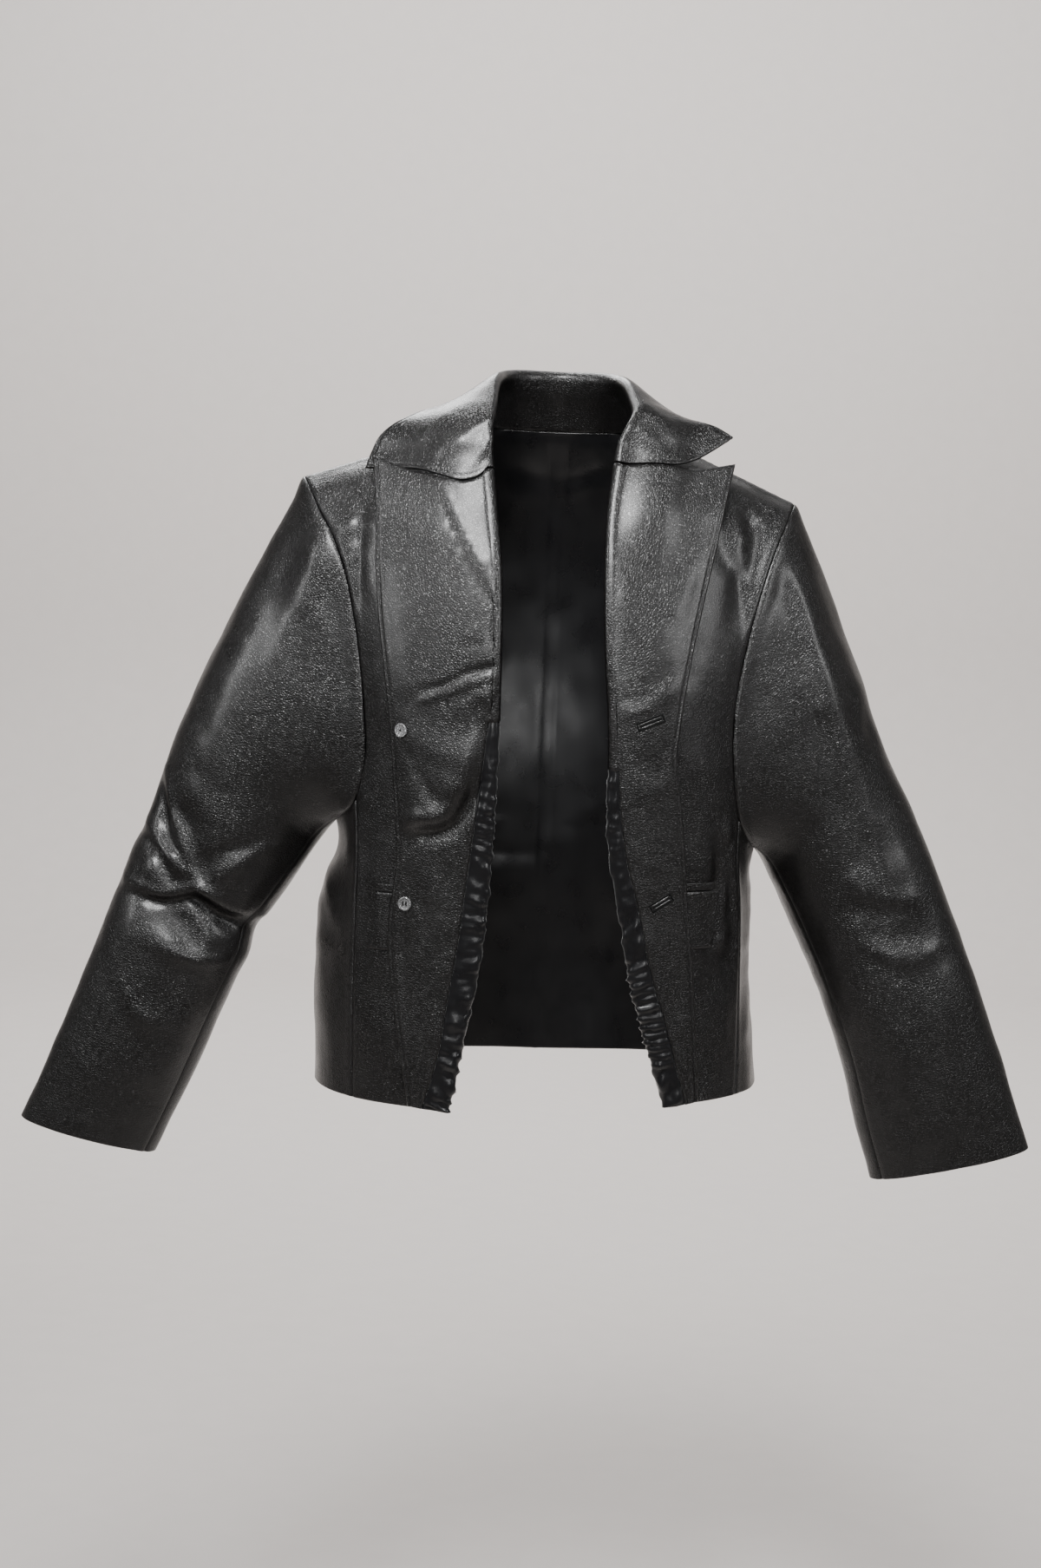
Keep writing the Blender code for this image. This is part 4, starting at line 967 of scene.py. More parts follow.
def creases(cloth, table, facing=None):
    """All the creases of a table; facing keeps those on the side that faces the viewer (-1) or away (1)."""
    total = np.zeros(cloth.points.shape[:2])
    for line, height, width, dip in table:
        total += crease(cloth.points, line, height, width, dip)
    if facing is not None:
        total *= np.clip(facing * cloth.normals[..., 1] * 1.6 + 0.35, 0, 1)
    return total


def seam_roll(*distances, depth=1.1):
    """The cloth turns in to its seams and swells a little beside them."""
    return sum(0.35 * bump(distance, 5.5, 3) - depth * bump(distance, 0, 1.5) for distance in distances)


def puckers(distance, along, height):
    """Small wrinkles that stand across a seam and die out away from it."""
    phase = along * 2 * math.pi / 11 + 1.7 * np.sin(along / 17) + 0.9 * np.sin(along / 7.3)
    return height * np.sin(phase) * np.exp(-distance / 7)


# ---------------------------------------------------------------- meshes


def add_object(name, data):
    made = bpy.data.objects.new(name, data)
    bpy.context.scene.collection.objects.link(made)
    return made


def add_mesh(name, vertices, faces, finishes, indices=None):
    """A smooth mesh from vertices in millimetres; indices say which finish each face has."""
    mesh = bpy.data.meshes.new(name)
    mesh.from_pydata((vertices * MM).tolist(), [], faces)
    for finish in finishes:
        mesh.materials.append(finish)
    if indices is not None:
        mesh.polygons.foreach_set("material_index", indices)
    mesh.shade_smooth()
    return add_object(name, mesh)


def wall(name, cloth, thick, outside, inside):
    """A cloth as a closed wall with a rounded rim, one finish on its outside and one on its inside."""
    count = int(cloth.valid.sum())
    index = np.full(cloth.valid.shape, -1)
    index[cloth.valid] = np.arange(count)
    middle, normals = cloth.points[cloth.valid], cloth.normals[cloth.valid]
    corners = [index[:-1, :-1], index[:-1, 1:], index[1:, 1:], index[1:, :-1]]
    quads = np.stack([c.ravel() for c in corners], axis=1)
    quads = quads[(quads >= 0).all(axis=1)]
    if cloth.flip:
        quads = quads[:, ::-1]
    starts, ends = quads.ravel(), np.roll(quads, -1, axis=1).ravel()
    free = ~np.isin(starts * count + ends, ends * count + starts)
    starts, ends = starts[free], ends[free]
    outwards = np.zeros_like(middle)
    across = np.cross(middle[ends] - middle[starts], normals[starts])
    np.add.at(outwards, starts, across)
    np.add.at(outwards, ends, across)
    rim = np.unique(starts)
    outwards[rim] /= np.linalg.norm(outwards[rim], axis=1, keepdims=True)
    at_rim = np.full(count, -1)
    at_rim[rim] = np.arange(len(rim))
    drawn = middle - outwards * thick * RIM_ROUND
    vertices = np.concatenate([
        drawn + normals * thick / 2,
        drawn - normals * thick / 2,
        middle[rim] - outwards[rim] * SEAM_GAP / 2,
    ])
    rim_starts, rim_ends = 2 * count + at_rim[starts], 2 * count + at_rim[ends]
    outer_rim = np.stack([ends, starts, rim_starts, rim_ends], axis=1)
    inner_rim = np.stack([rim_ends, rim_starts, starts + count, ends + count], axis=1)
    faces = np.concatenate([quads, quads[:, ::-1] + count, outer_rim, inner_rim])
    indices = np.zeros(len(faces), int)
    indices[len(quads) : 2 * len(quads)] = 1
    return add_mesh(name, vertices, faces.tolist(), [outside, inside], indices)


def tube_faces(base, rings, sides):
    """The faces of a closed bar made of rings of vertices, the first of which is vertex number base."""
    last = base + (rings - 1) * sides
    faces = [list(range(base, base + sides))[::-1], list(range(last, last + sides))]
    for start in range(base, last, sides):
        for i in range(sides):
            j = (i + 1) % sides
            faces.append([start + i, start + j, start + sides + j, start + sides + i])
    return faces


def whole_turn(sides):
    """Angles evenly spaced round a ring."""
    return np.linspace(0, 2 * math.pi, sides, endpoint=False)


def row_at(place, run, rows):
    """A point or a normal at a place along a run, between the rows given."""
    return np.array([np.interp(place, run, rows[:, k]) for k in range(3)])


STITCH_PITCH = 3.4
STITCH_LENGTH = 2.5
STITCH_RADIUS = 0.3
STITCH_RISE = 0.05  # its line lies this far above the cloth
STITCH_SIDES = 6
STITCH_PROFILE = [
    # share of the length, share of the radius, how many radii it lies above the cloth
    (-0.5, 0.25, -0.35), (-0.3, 1.0, 0.1), (0.3, 1.0, 0.1), (0.5, 0.25, -0.35),
]


def thread(name, lines, finish):
    """Topstitching along lines of (points, normals): one short sunk capsule of thread for each stitch."""
    vertices, faces = [], []
    for points, normals in lines:
        run = run_of(points)
        for place in np.arange(STITCH_PITCH, run[-1] - STITCH_PITCH / 2, STITCH_PITCH):
            centre = row_at(place, run, points)
            along = unit(row_at(place + 1, run, points) - centre)
            up = unit(row_at(place, run, normals))
            aside = unit(np.cross(up, along))
            faces += tube_faces(len(vertices), len(STITCH_PROFILE), STITCH_SIDES)
            for reach, girth, rise in STITCH_PROFILE:
                for turn in whole_turn(STITCH_SIDES):
                    offset = aside * girth * math.cos(turn) + up * (girth * math.sin(turn) + rise)
                    vertices.append(centre + along * reach * STITCH_LENGTH + offset * STITCH_RADIUS)
    return add_mesh(name, np.array(vertices), faces, [finish])


def line_at(cloth, distance, inset, rise, others=(), stop=None):
    """The line on a cloth's outside where a distance from an edge is the inset, one point for each row up to
    stop; it keeps the same inset from the other edges."""
    points, normals = [], []
    for r in range(cloth.points.shape[0])[:stop]:
        keep = cloth.valid[r]
        order = np.argsort(distance[r][keep])
        known = distance[r][keep][order]
        if len(known) < 2 or known[-1] < inset:
            continue
        if any(np.interp(inset, known, other[r][keep][order]) < inset for other in others):
            continue
        p, n = cloth.points[r][keep][order], cloth.normals[r][keep][order]
        normal = unit(row_at(inset, known, n))
        points.append(row_at(inset, known, p) + normal * rise)
        normals.append(normal)
    return np.array(points), np.array(normals)


def turned_grid(cloth):
    """The same cloth with rows and columns exchanged, to follow its other edges."""
    turned = Cloth.__new__(Cloth)
    turned.points = cloth.points.transpose(1, 0, 2)
    turned.normals = cloth.normals.transpose(1, 0, 2)
    turned.valid = cloth.valid.T
    return turned


# ---------------------------------------------------------------- materials


def linear(code):
    """A colour written as six hexadecimal sRGB digits, as linear numbers with alpha 1."""
    parts = [int(code[k : k + 2], 16) / 255 for k in (0, 2, 4)]
    return (*[p / 12.92 if p <= 0.04045 else ((p + 0.055) / 1.055) ** 2.4 for p in parts], 1)


def add_node(made, kind, inputs=None, **settings):
    """A node with its settings; each input is a number, a colour or another node's output."""
    node = made.node_tree.nodes.new(kind)
    for key, value in settings.items():
        setattr(node, key, value)
    for socket, value in (inputs or {}).items():
        if isinstance(value, bpy.types.NodeSocket):
            made.node_tree.links.new(value, node.inputs[socket])
        else:
            node.inputs[socket].default_value = value
    return node


# Sizes of the patterns, mm. The leather's real pebbles are about 1.2 mm across and the satin's threads about
# 0.15 mm. Neither would show at this size, so both are drawn coarser; the others are real sizes.
GRAIN = 2.2
GRAIN_WARP = 2.2  # how far apart the places are where the pebbles are pushed out of their even order
GRAIN_SHIFT = 0.7  # and how far they are pushed
DENTS = 9  # the soft unevenness of coated cloth
CREPING = 4.2  # its fine wrinkles
PORES = 0.5
SATIN_THREAD = 0.45
LEATHER_PATCHES = 38  # slow changes of colour and gloss
SATIN_PATCHES = 25


def per_metre(size):
    """The scale of a pattern whose features are the given number of millimetres apart."""
    return 1 / (size * MM)


def new_material(name, roughness, **values):
    made = bpy.data.materials.new(name)
    made.use_nodes = True
    shader = made.node_tree.nodes["Principled BSDF"]
    shader.inputs["Roughness"].default_value = roughness
    for socket, value in values.items():
        shader.inputs[socket.replace("_", " ")].default_value = value
    return made, shader


def connect(made, output, shader, socket):
    made.node_tree.links.new(output, shader.inputs[socket])


def object_place(made):
    return add_node(made, "ShaderNodeTexCoord").outputs["Object"]


def noise(made, place, size, detail):
    """A cloudy pattern with features of a size in mm."""
    return add_node(made, "ShaderNodeTexNoise", {"Vector": place, "Scale": per_metre(size), "Detail": detail})


def pressed(made, height, strength, depth, over=None):
    """The normal of a surface with a pattern pressed in to a depth in mm, over a coarser one if given."""
    inputs = {"Height": height, "Strength": strength, "Distance": depth * MM}
    if over is not None:
        inputs["Normal"] = over
    return add_node(made, "ShaderNodeBump", inputs).outputs[0]


def blotches(made, shader, place, dark, light, size, roughness, spread):
    """Slow changes of colour and gloss over the surface."""
    patches = noise(made, place, size, 4.0).outputs[0]
    colour = add_node(made, "ShaderNodeMix", {"Factor": patches}, data_type="RGBA")
    colour.inputs[6].default_value, colour.inputs[7].default_value = linear(dark), linear(light)
    connect(made, colour.outputs[2], shader, "Base Color")
    limits = {"From Min": 0.3, "From Max": 0.7, "To Min": roughness - spread, "To Max": roughness + spread}
    gloss = add_node(made, "ShaderNodeMapRange", {"Value": patches, **limits})
    connect(made, gloss.outputs[0], shader, "Roughness")


def grained(name, dark, light, roughness):
    """Embossed coated cloth: pebbles with fine lines between, on softer dents and wrinkles."""
    made, shader = new_material(name, roughness, IOR=1.5, Coat_Weight=0.3, Coat_Roughness=0.24)
    place = object_place(made)
    blotches(made, shader, place, dark, light, LEATHER_PATCHES, roughness, 0.045)
    warp = {0: noise(made, place, GRAIN_WARP, 2.0).outputs[1], "Scale": GRAIN_SHIFT * MM}
    scaled = add_node(made, "ShaderNodeVectorMath", warp, operation="SCALE")
    bent = add_node(made, "ShaderNodeVectorMath", {0: place, 1: scaled.outputs[0]}, operation="ADD")
    grain = {"Vector": bent.outputs[0], "Scale": per_metre(GRAIN)}
    pebbles = add_node(made, "ShaderNodeTexVoronoi", grain, feature="DISTANCE_TO_EDGE")
    height = {"Value": pebbles.outputs[0], "From Max": 0.28}
    rounded = add_node(made, "ShaderNodeMapRange", height, interpolation_type="SMOOTHSTEP")
    normal = pressed(made, noise(made, place, DENTS, 3.0).outputs[0], 0.3, 1.4)
    normal = pressed(made, noise(made, place, CREPING, 2.0).outputs[0], 0.35, 0.6, normal)
    normal = pressed(made, rounded.outputs[0], 0.6, 0.42, normal)
    normal = pressed(made, noise(made, place, PORES, 3.0).outputs[0], 0.5, 0.14, normal)
    connect(made, normal, shader, "Normal")
    return made


def satin(name, dark, light, roughness):
    """Woven satin: fine threads one way, soft sheen."""
    made, shader = new_material(name, roughness, IOR=1.5, Sheen_Weight=0.25, Sheen_Roughness=0.35)
    place = object_place(made)
    blotches(made, shader, place, dark, light, SATIN_PATCHES, roughness, 0.05)
    stretched = add_node(made, "ShaderNodeMapping", {"Vector": place, "Scale": (1.0, 1.0, 0.08)})
    threads = noise(made, stretched.outputs[0], SATIN_THREAD, 2.0)
    connect(made, pressed(made, threads.outputs[0], 0.1, 0.04), shader, "Normal")
    return made


def plain(name, dark, light, roughness, size, depth, **values):
    """A moulded or spun finish with a faint unevenness of its own."""
    made, shader = new_material(name, roughness, **values)
    place = object_place(made)
    blotches(made, shader, place, dark, light, size * 8, roughness, 0.03)
    connect(made, pressed(made, noise(made, place, size, 3.0).outputs[0], 0.3, depth), shader, "Normal")
    return made


# ---------------------------------------------------------------- refining the sheets

# How many fine cells each coarse one is divided into, from the hem up and from the first column on
BODY_ROWS = [7] * SEAM_ROWS
FRONT_ROW_COUNTS = BODY_ROWS + [11] * ARM_ROWS_LOW + [8] * ARM_ROWS_HIGH
BACK_ROW_COUNTS = BODY_ROWS + [9, 9, 9, 9, 8, 8, 7, 6, 4]
FRONT_COLUMN_COUNTS = [9, 5, 5, 4, 4, 5] + [2] * (BEND_COLUMNS + 1) + [5] * FRONT_COLUMNS
BACK_COLUMN_COUNTS = [5] * FRONT_COLUMNS + [6] * NECK_COLUMNS + [5] * FRONT_COLUMNS


def refined(sheet, row_counts, column_counts, closer=(True, True, True, True)):
    """A sheet's grid on its own smooth surface, with closer cells along its bottom, top, first and last edge,
    and where its fine rows and columns lie, counted in coarse ones."""
    rows, columns = steps(row_counts, *closer[:2]), steps(column_counts, *closer[2:])
    fine = finer(finer(sheet.points, 0, rows), 1, columns)
    return Cloth(fine, sheet.flip), rows, columns


def refined_front(sheet):
    """The same for a front, whose turned-back part and bend end at the gorge."""
    coarse = sheet.points
    row_run = mean_run(coarse[:, LEAD_COLUMNS:], 0)
    column_run = mean_run(coarse[: GORGE_ROW + 1], 1)
    rows, columns = steps(FRONT_ROW_COUNTS, True, True), steps(FRONT_COLUMN_COUNTS, True, True)
    count = int((rows <= GORGE_ROW + SAME).sum())
    lead = finer(coarse[: GORGE_ROW + 1, :LEAD_COLUMNS], 0, rows[:count], row_run[: GORGE_ROW + 1])
    fore = finer(coarse[:, LEAD_COLUMNS:], 0, rows, row_run)
    fore_columns = columns[columns >= LEAD_COLUMNS - SAME]
    grid = np.full((len(rows), len(columns), 3), np.nan)
    grid[:count] = finer(np.concatenate([lead, fore[:count]], axis=1), 1, columns, column_run)
    fore_run = column_run[LEAD_COLUMNS:] - column_run[LEAD_COLUMNS]
    grid[count:, -len(fore_columns) :] = finer(fore[count:], 1, fore_columns - LEAD_COLUMNS, fore_run)
    return Cloth(grid, sheet.flip), rows, columns


def clear_of(*distances):
    """1 away from the given edges and 0 on them, so that neighbouring pieces still meet."""
    nearest = np.minimum.reduce(distances)
    return 1 - np.exp(-((nearest / 14) ** 2))


SLACK = [(0.75, 85), (0.3, 34)]  # height and wavelength of a soft cloth's unevenness


def slack(points, seed):
    """The small unevenness of a soft cloth."""
    return sum(height * ripple(points, length, seed + k) for k, (height, length) in enumerate(SLACK))


SMOOTHING_ROUNDS = 120


def smoothed(cloth, share, rounds):
    """Evens the grid out where share is above 0, but not along its edges."""
    inner = share[1:-1, 1:-1, None] * 0.5
    for _ in range(rounds):
        p = cloth.points
        mean = (p[:-2, 1:-1] + p[2:, 1:-1] + p[1:-1, :-2] + p[1:-1, 2:]) / 4
        p[1:-1, 1:-1] += inner * (mean - p[1:-1, 1:-1])
    cloth.measure()


def edge_press(distance):
    """A stitched free edge: rounded over at the edge, swollen behind it, drawn in along the stitching."""
    swell = 0.6 * bump(distance, 1.9, 1.0) + 0.4 * bump(distance, 6.5, 2.2)
    return swell - 0.7 * np.exp(-((distance / 1.2) ** 2)) - 0.7 * bump(distance, STITCH_INSET, 1.0)


# Creases: a line seen from the front (x, z), height, half width, and how deep the dip beside it is. On a
# turned-back part a ridge rises towards the viewer.
TURNED_CREASES = {
    "right": [
        ([(-112, -66), (-100, -88), (-93, -102)], 1.5, 2.6, 0.5),
        ([(-98, -92), (-88, -113), (-77, -132)], 1.7, 2.4, 0.7),
        ([(-83, -122), (-72, -141), (-62, -158)], 1.5, 2.6, 0.6),
        ([(-68, -148), (-55, -170), (-50, -205), (-48, -238)], 1.9, 3.2, 0.8),
        ([(-115, -64), (-88, -113), (-54, -169), (-49, -236)], 0.5, 12, 0.2),
        ([(-87, -216), (-68, -212), (-50, -206)], -1.5, 3.4, 0),
        ([(-60, -228), (-50, -225)], 1.1, 2.5, 0.5),
        ([(-47, -240), (-68, -246), (-94, -256), (-121, -267)], 3.0, 3.8, 1.1),
        ([(-48, -252), (-70, -262), (-88, -276)], 1.6, 4.5, 0.7),
        (
            [(-139, -396), (-130, -387), (-113, -380), (-102, -378), (-90, -366), (-84, -343), (-74, -300)],
            3.0, 7, 0.9,
        ),
        ([(-156, -386), (-130, -382), (-104, -378), (-84, -354), (-66, -300)], 6.0, (75, 9), 0.3),
        ([(-52, -330), (-60, -372), (-78, -402)], 1.5, 7, 0.6),
        ([(-141, -390), (-140, -482), (-140, -532), (-125, -662)], 1.8, 6, 0),
        ([(-132, -414), (-133, -481), (-134, -531), (-121, -641)], -2, 5, 0),
        ([(-112, -430), (-100, -470), (-104, -520)], 1.3, 9, 0.4),
        ([(-96, -520), (-104, -560), (-98, -610)], 1.2, 8, 0.4),
    ],
    "left": [
        ([(150, -110), (128, -150), (100, -200)], 1.3, 14, 0.2),
        ([(60, -120), (66, -170), (62, -225)], 1.0, 9, 0.4),
        ([(128, -236), (100, -262), (70, -274)], 1.2, 8, 0.5),
        ([(126, -300), (118, -318), (112, -338)], 0.9, 5, 0.5),
        ([(132, -338), (104, -345), (84, -352)], 0.9, 14, 0.7),
        ([(84, -400), (104, -418), (126, -424)], 0.4, 9, 0.4),
        ([(92, -470), (100, -505), (96, -545)], 1.2, 8, 0.4),
        ([(146, -548), (140, -600), (150, -642)], 1.5, 8, 0.4),
        ([(112, -560), (118, -600), (124, -650)], 1.1, 7, 0.3),
    ],
}
FOREPART_CREASES = {
    "right": [
        ([(-241, -67), (-207, -110), (-192, -74)], 3, 8, 0),
        ([(-195, -79), (-192, -186)], -4, 9, 0),
        ([(-179, -359), (-189, -401)], 2.5, 7, 0.5),
        ([(-168, -400), (-158, -470), (-162, -560)], 2, 12, 0.4),
    ],
    "left": [
        ([(173, -69), (189, -156)], 3, 9, 0.5),
        ([(190, -72), (205, -95)], 2.2, 7, 0.4),
        ([(177, -385), (177, -422), (176, -459), (172, -520)], 3, 6, 0.8),
        ([(177, -386), (187, -410)], 2, 5, 0.5),
        ([(197, -397), (187, -410), (185, -433)], 2.4, 5, 0.6),
        ([(186, -472), (173, -508)], 2, 6, 0.5),
    ],
}
SLEEVE_CREASES = {
    # -1: on the half that faces forwards, 1: on the half behind
    "right": {
        -1: [
            ([(-382, -354), (-372, -391), (-342, -466)], 4, 6, 0.8),
            ([(-399, -406), (-374, -436), (-341, -468)], 4, 7, 0.9),
            ([(-416, -465), (-380, -476), (-340, -470), (-310, -487), (-274, -501)], 5, 7, 1.0),
            ([(-239, -148), (-258, -199), (-272, -246)], 2, 12, 0.3),
            ([(-314, -323), (-329, -499), (-365, -661)], 1.8, 14, 0.3),
            ([(-262, -420), (-300, -440), (-338, -470)], 2.4, 8, 0.7),
            ([(-300, -545), (-345, -540), (-395, -520)], 2.0, 9, 0.5),
            ([(-420, -560), (-395, -600), (-372, -612)], 1.4, 9, 0.4),
        ],
        1: [
            ([(-255, -130), (-275, -190), (-262, -250)], 2.2, 13, 0.4),
            ([(-392, -390), (-350, -430), (-290, -440)], 3.2, 9, 0.7),
            ([(-412, -450), (-372, -478), (-300, -492)], 3.4, 9, 0.8),
            ([(-420, -505), (-380, -522), (-330, -520)], 2.4, 9, 0.6),
            ([(-330, -560), (-372, -640)], 1.6, 13, 0.3),
        ],
    },
    "left": {
        -1: [
            ([(221, -110), (249, -176), (278, -255), (305, -326), (327, -393), (355, -475)], 2.6, 11, 0.5),
            ([(261, -264), (275, -273)], 1.6, 5, 0.5),
            ([(300, -430), (330, -452), (372, -455)], 1.8, 9, 0.5),
            ([(318, -500), (360, -512), (405, -500)], 1.6, 9, 0.5),
            ([(262, -130), (300, -215), (330, -280)], -1.6, 12, 0),
            ([(352, -560), (372, -640), (398, -700)], 1.4, 12, 0.3),
        ],
        1: [
            ([(250, -130), (272, -190), (262, -250)], 2.2, 13, 0.4),
            ([(385, -390), (345, -430), (290, -445)], 2.8, 10, 0.7),
            ([(402, -455), (362, -478), (300, -480)], 3.0, 9, 0.8),
            ([(330, -560), (372, -640)], 1.6, 13, 0.3),
        ],
    },
}
SIDE_CREASES = {
    "right": [
        ([(-212, -395), (-216, -440), (-205, -500)], 2.2, 8, 0.5),
        ([(-222, -470), (-218, -600)], 1.5, 10, 0.3),
    ],
    "left": [
        ([(208, -408), (212, -450), (203, -520)], 2.2, 8, 0.5),
        ([(214, -500), (206, -620)], 1.5, 10, 0.3),
    ],
}
BACK_CREASES = [
    ([(-176, -150), (-150, -215), (-140, -300)], 2.6, 12, 0.5),
    ([(168, -160), (146, -230), (140, -310)], 2.4, 12, 0.5),
    ([(-168, -355), (-120, -392), (-60, -405)], 2.2, 9, 0.6),
    ([(172, -365), (118, -405), (48, -412)], 2.4, 9, 0.6),
    ([(-150, -405), (-90, -440), (-10, -446)], 1.8, 10, 0.5),
    ([(160, -425), (96, -452)], 1.6, 9, 0.4),
    ([(-60, -38), (0, -52), (62, -36)], 1.4, 9, 0.4),
    ([(-120, -520), (-130, -640)], 1.8, 15, 0.3),
    ([(112, -510), (126, -635)], 1.8, 15, 0.3),
]
COLLAR_CREASES = [
    ([(-120, -34), (-95, -14), (-62, 8)], 1.3, 7, 0.4),
    ([(-92, -52), (-74, -30), (-60, -4)], 1.0, 5, 0.4),
    ([(-140, -18), (-112, 4), (-86, 22)], 1.0, 8, 0.3),
    ([(112, -34), (88, -14), (60, 6)], 1.3, 7, 0.4),
    ([(136, -22), (110, 0), (84, 18)], 1.0, 8, 0.3),
    ([(84, -52), (68, -34), (58, -12)], 1.0, 5, 0.4),
]

BUTTONHOLES = [
    # two ends seen from the front: x_0, z_0, x_1, z_1
    (84, -286, 108, -276),
    (104, -461, 123, -449),
]


PLEAT_WIDTH = 10.5  # of the lining's gathers, along its seam
PLEAT_REACH = 34  # how far from the seam they run before they die out


def ruffle(lining, seed):
    """The loose satin gathers along its seam and bulges over the fold, more so towards the hem."""
    along, across = lining.from_bottom, lining.from_first
    slant = across * (0.05 + 0.07 * np.sin(along / 37 + seed))
    phase = along * math.pi / PLEAT_WIDTH + slant
    phase += 2.6 * np.sin(along / 26 + seed) + 1.2 * np.sin(along / 11.3 + 1)
    pleats = 0.8 - 1.6 * np.abs(np.sin(phase)) ** 0.7
    waves = pleats * (0.75 + 0.6 * np.sin(along / 43 + 2 * seed)) + 0.9 * ripple(lining.points, 15, seed)
    waves += 0.45 * ripple(lining.points, 7, seed + 1)
    depth = np.clip(1.45 - along / 420, 0.3, 1.4) * np.clip(across / 6, 0.3, 1)
    over = np.exp(-((np.maximum(across - PLEAT_REACH, 0) / 14) ** 2))
    rising = 1 - np.exp(-((lining.from_top / 12) ** 2))
    return 1.15 * waves * depth * over * rising


def dressed_front(name, front):
    """A front with its creases, and where its fine rows and columns lie, counted in coarse ones."""
    sheet = front_sheet(front)
    press_folds(sheet, FOLDS["front_" + name], LEAD_COLUMNS + 4)
    cloth, rows, columns = refined_front(sheet)
    turned = np.interp(columns, [TURNED_COLUMNS - 1, TURNED_COLUMNS + 0.6], [1, 0])[None, :]
    fore = np.interp(columns, [LEAD_COLUMNS - 0.5, LEAD_COLUMNS + 1.5], [0, 1])[None, :]
    total = -turned * creases(cloth, TURNED_CREASES[name]) * clear_of(cloth.from_first, cloth.from_top * 1.5)
    loose = clear_of(cloth.from_last, cloth.from_top)
    total += fore * loose * (creases(cloth, FOREPART_CREASES[name]) + slack(cloth.points, 11 + front.sign))
    total += turned * 0.5 * slack(cloth.points, 21 + front.sign) * clear_of(cloth.from_first, cloth.from_top)
    total += fore * (seam_roll(cloth.from_last) + seam_roll(cloth.from_top, depth=0.9))
    total += fore * puckers(cloth.from_top, cloth.from_last, 0.2)
    cloth.push(np.where(cloth.valid, total, 0))
    return cloth, rows, columns


def facing_and_lining(name, front, cloth, rows, columns):
    """What lies on the turned-back part, and round the bend: the same points, moved out."""
    top = front.side["lining_top_row"]
    height = -(SHELL_THICK + FACING_THICK) / 2 - LAYER_GAP
    own_rows = rows[rows <= GORGE_ROW + SAME]
    own_columns = columns[columns <= LEAD_COLUMNS + 1 + SAME]
    keep = np.ones((len(own_rows), len(own_columns)), bool)
    keep[np.ix_(own_rows < top - SAME, own_columns > TURNED_COLUMNS - 1 + SAME)] = False
    facing = cloth.layer(height, slice(0, len(own_rows)), slice(0, len(own_columns)), keep)
    facing = Cloth(facing.points, not cloth.flip)
    outside_notch = own_columns < NOTCH_COLUMN + 0.5
    total = edge_press(facing.from_first) + edge_press(facing.from_top) * outside_notch
    total += 0.5 * seam_roll(facing.from_last) + 0.22 * puckers(facing.from_last, facing.from_bottom, 1)
    facing.push(total)

    first = int(np.argmin(np.abs(columns - (TURNED_COLUMNS - 1))))
    last = int((columns <= LEAD_COLUMNS + 2 + SAME).sum())
    count = int((rows <= top + SAME).sum()) + 2
    lining = cloth.layer(height, slice(0, count), slice(first, last))
    closer = finer(lining.points, 0, np.linspace(0, count - 1, 2 * count - 1))
    lining = Cloth(closer, not cloth.flip)
    under_facing = -1.3 * np.exp(-((lining.from_top / 9) ** 2))
    lining.push(0.5 * seam_roll(lining.from_first) + ruffle(lining, 71 + front.sign) + under_facing)
    return facing, lining


def dressed_side(name, body):
    sheet = side_sheet(body)
    press_folds(sheet, FOLDS["side_" + name])
    cloth, _, _ = refined(sheet, BODY_ROWS, [5] * SIDE_COLUMNS)
    loose = clear_of(cloth.from_first, cloth.from_last, cloth.from_top)
    total = loose * (creases(cloth, SIDE_CREASES[name]) + slack(cloth.points, 31 + body.sign))
    total += seam_roll(cloth.from_first, cloth.from_last, cloth.from_top)
    return cloth.push(total)


def dressed_back(bodies):
    sheet = back_sheet(bodies)
    press_folds(sheet, FOLDS["back"])
    cloth, _, _ = refined(sheet, BACK_ROW_COUNTS, BACK_COLUMN_COUNTS)
    # the rows crowd together towards the neck, so their unevenness is taken out there
    crowded = np.clip((150 - cloth.from_top) / 60, 0, 1) * np.clip(cloth.from_top / 8, 0, 1)
    smoothed(cloth, crowded, SMOOTHING_ROUNDS)
    loose = clear_of(cloth.from_first, cloth.from_last, cloth.from_top)
    total = loose * (creases(cloth, BACK_CREASES) + slack(cloth.points, 41))
    total += seam_roll(cloth.from_first, cloth.from_last) + seam_roll(cloth.from_top, depth=0.9)
    # the centre back seam
    middle = np.abs(cloth.points[..., 0])
    total += seam_roll(middle, depth=0.8) * np.clip(cloth.from_top / 10, 0, 1)
    return cloth.push(total)


def dressed_sleeves(name, body):
    pieces = []
    for part, sheet in zip(("top", "under"), sleeve_sheets(body)):
        cloth, _, _ = refined(sheet, [7] * SLEEVE_ROWS, [4] * (sheet.valid.shape[1] - 1))
        loose = clear_of(cloth.from_bottom, cloth.from_first * 1.5, cloth.from_last * 1.5)
        total = slack(cloth.points, 51 + body.sign + len(part))
        for facing, table in SLEEVE_CREASES[name].items():
            total += creases(cloth, table, facing)
        total *= loose
        total += seam_roll(cloth.from_first, cloth.from_last) + seam_roll(cloth.from_bottom, depth=0.8)
        # the sleeve's head swells beside its seam
        total += (1.1 if part == "top" else 0.33) * bump(cloth.from_bottom, 10, 9)
        total += 0.3 * puckers(cloth.from_bottom, cloth.from_first, 1)
        pieces.append(cloth.push(total))
    return pieces


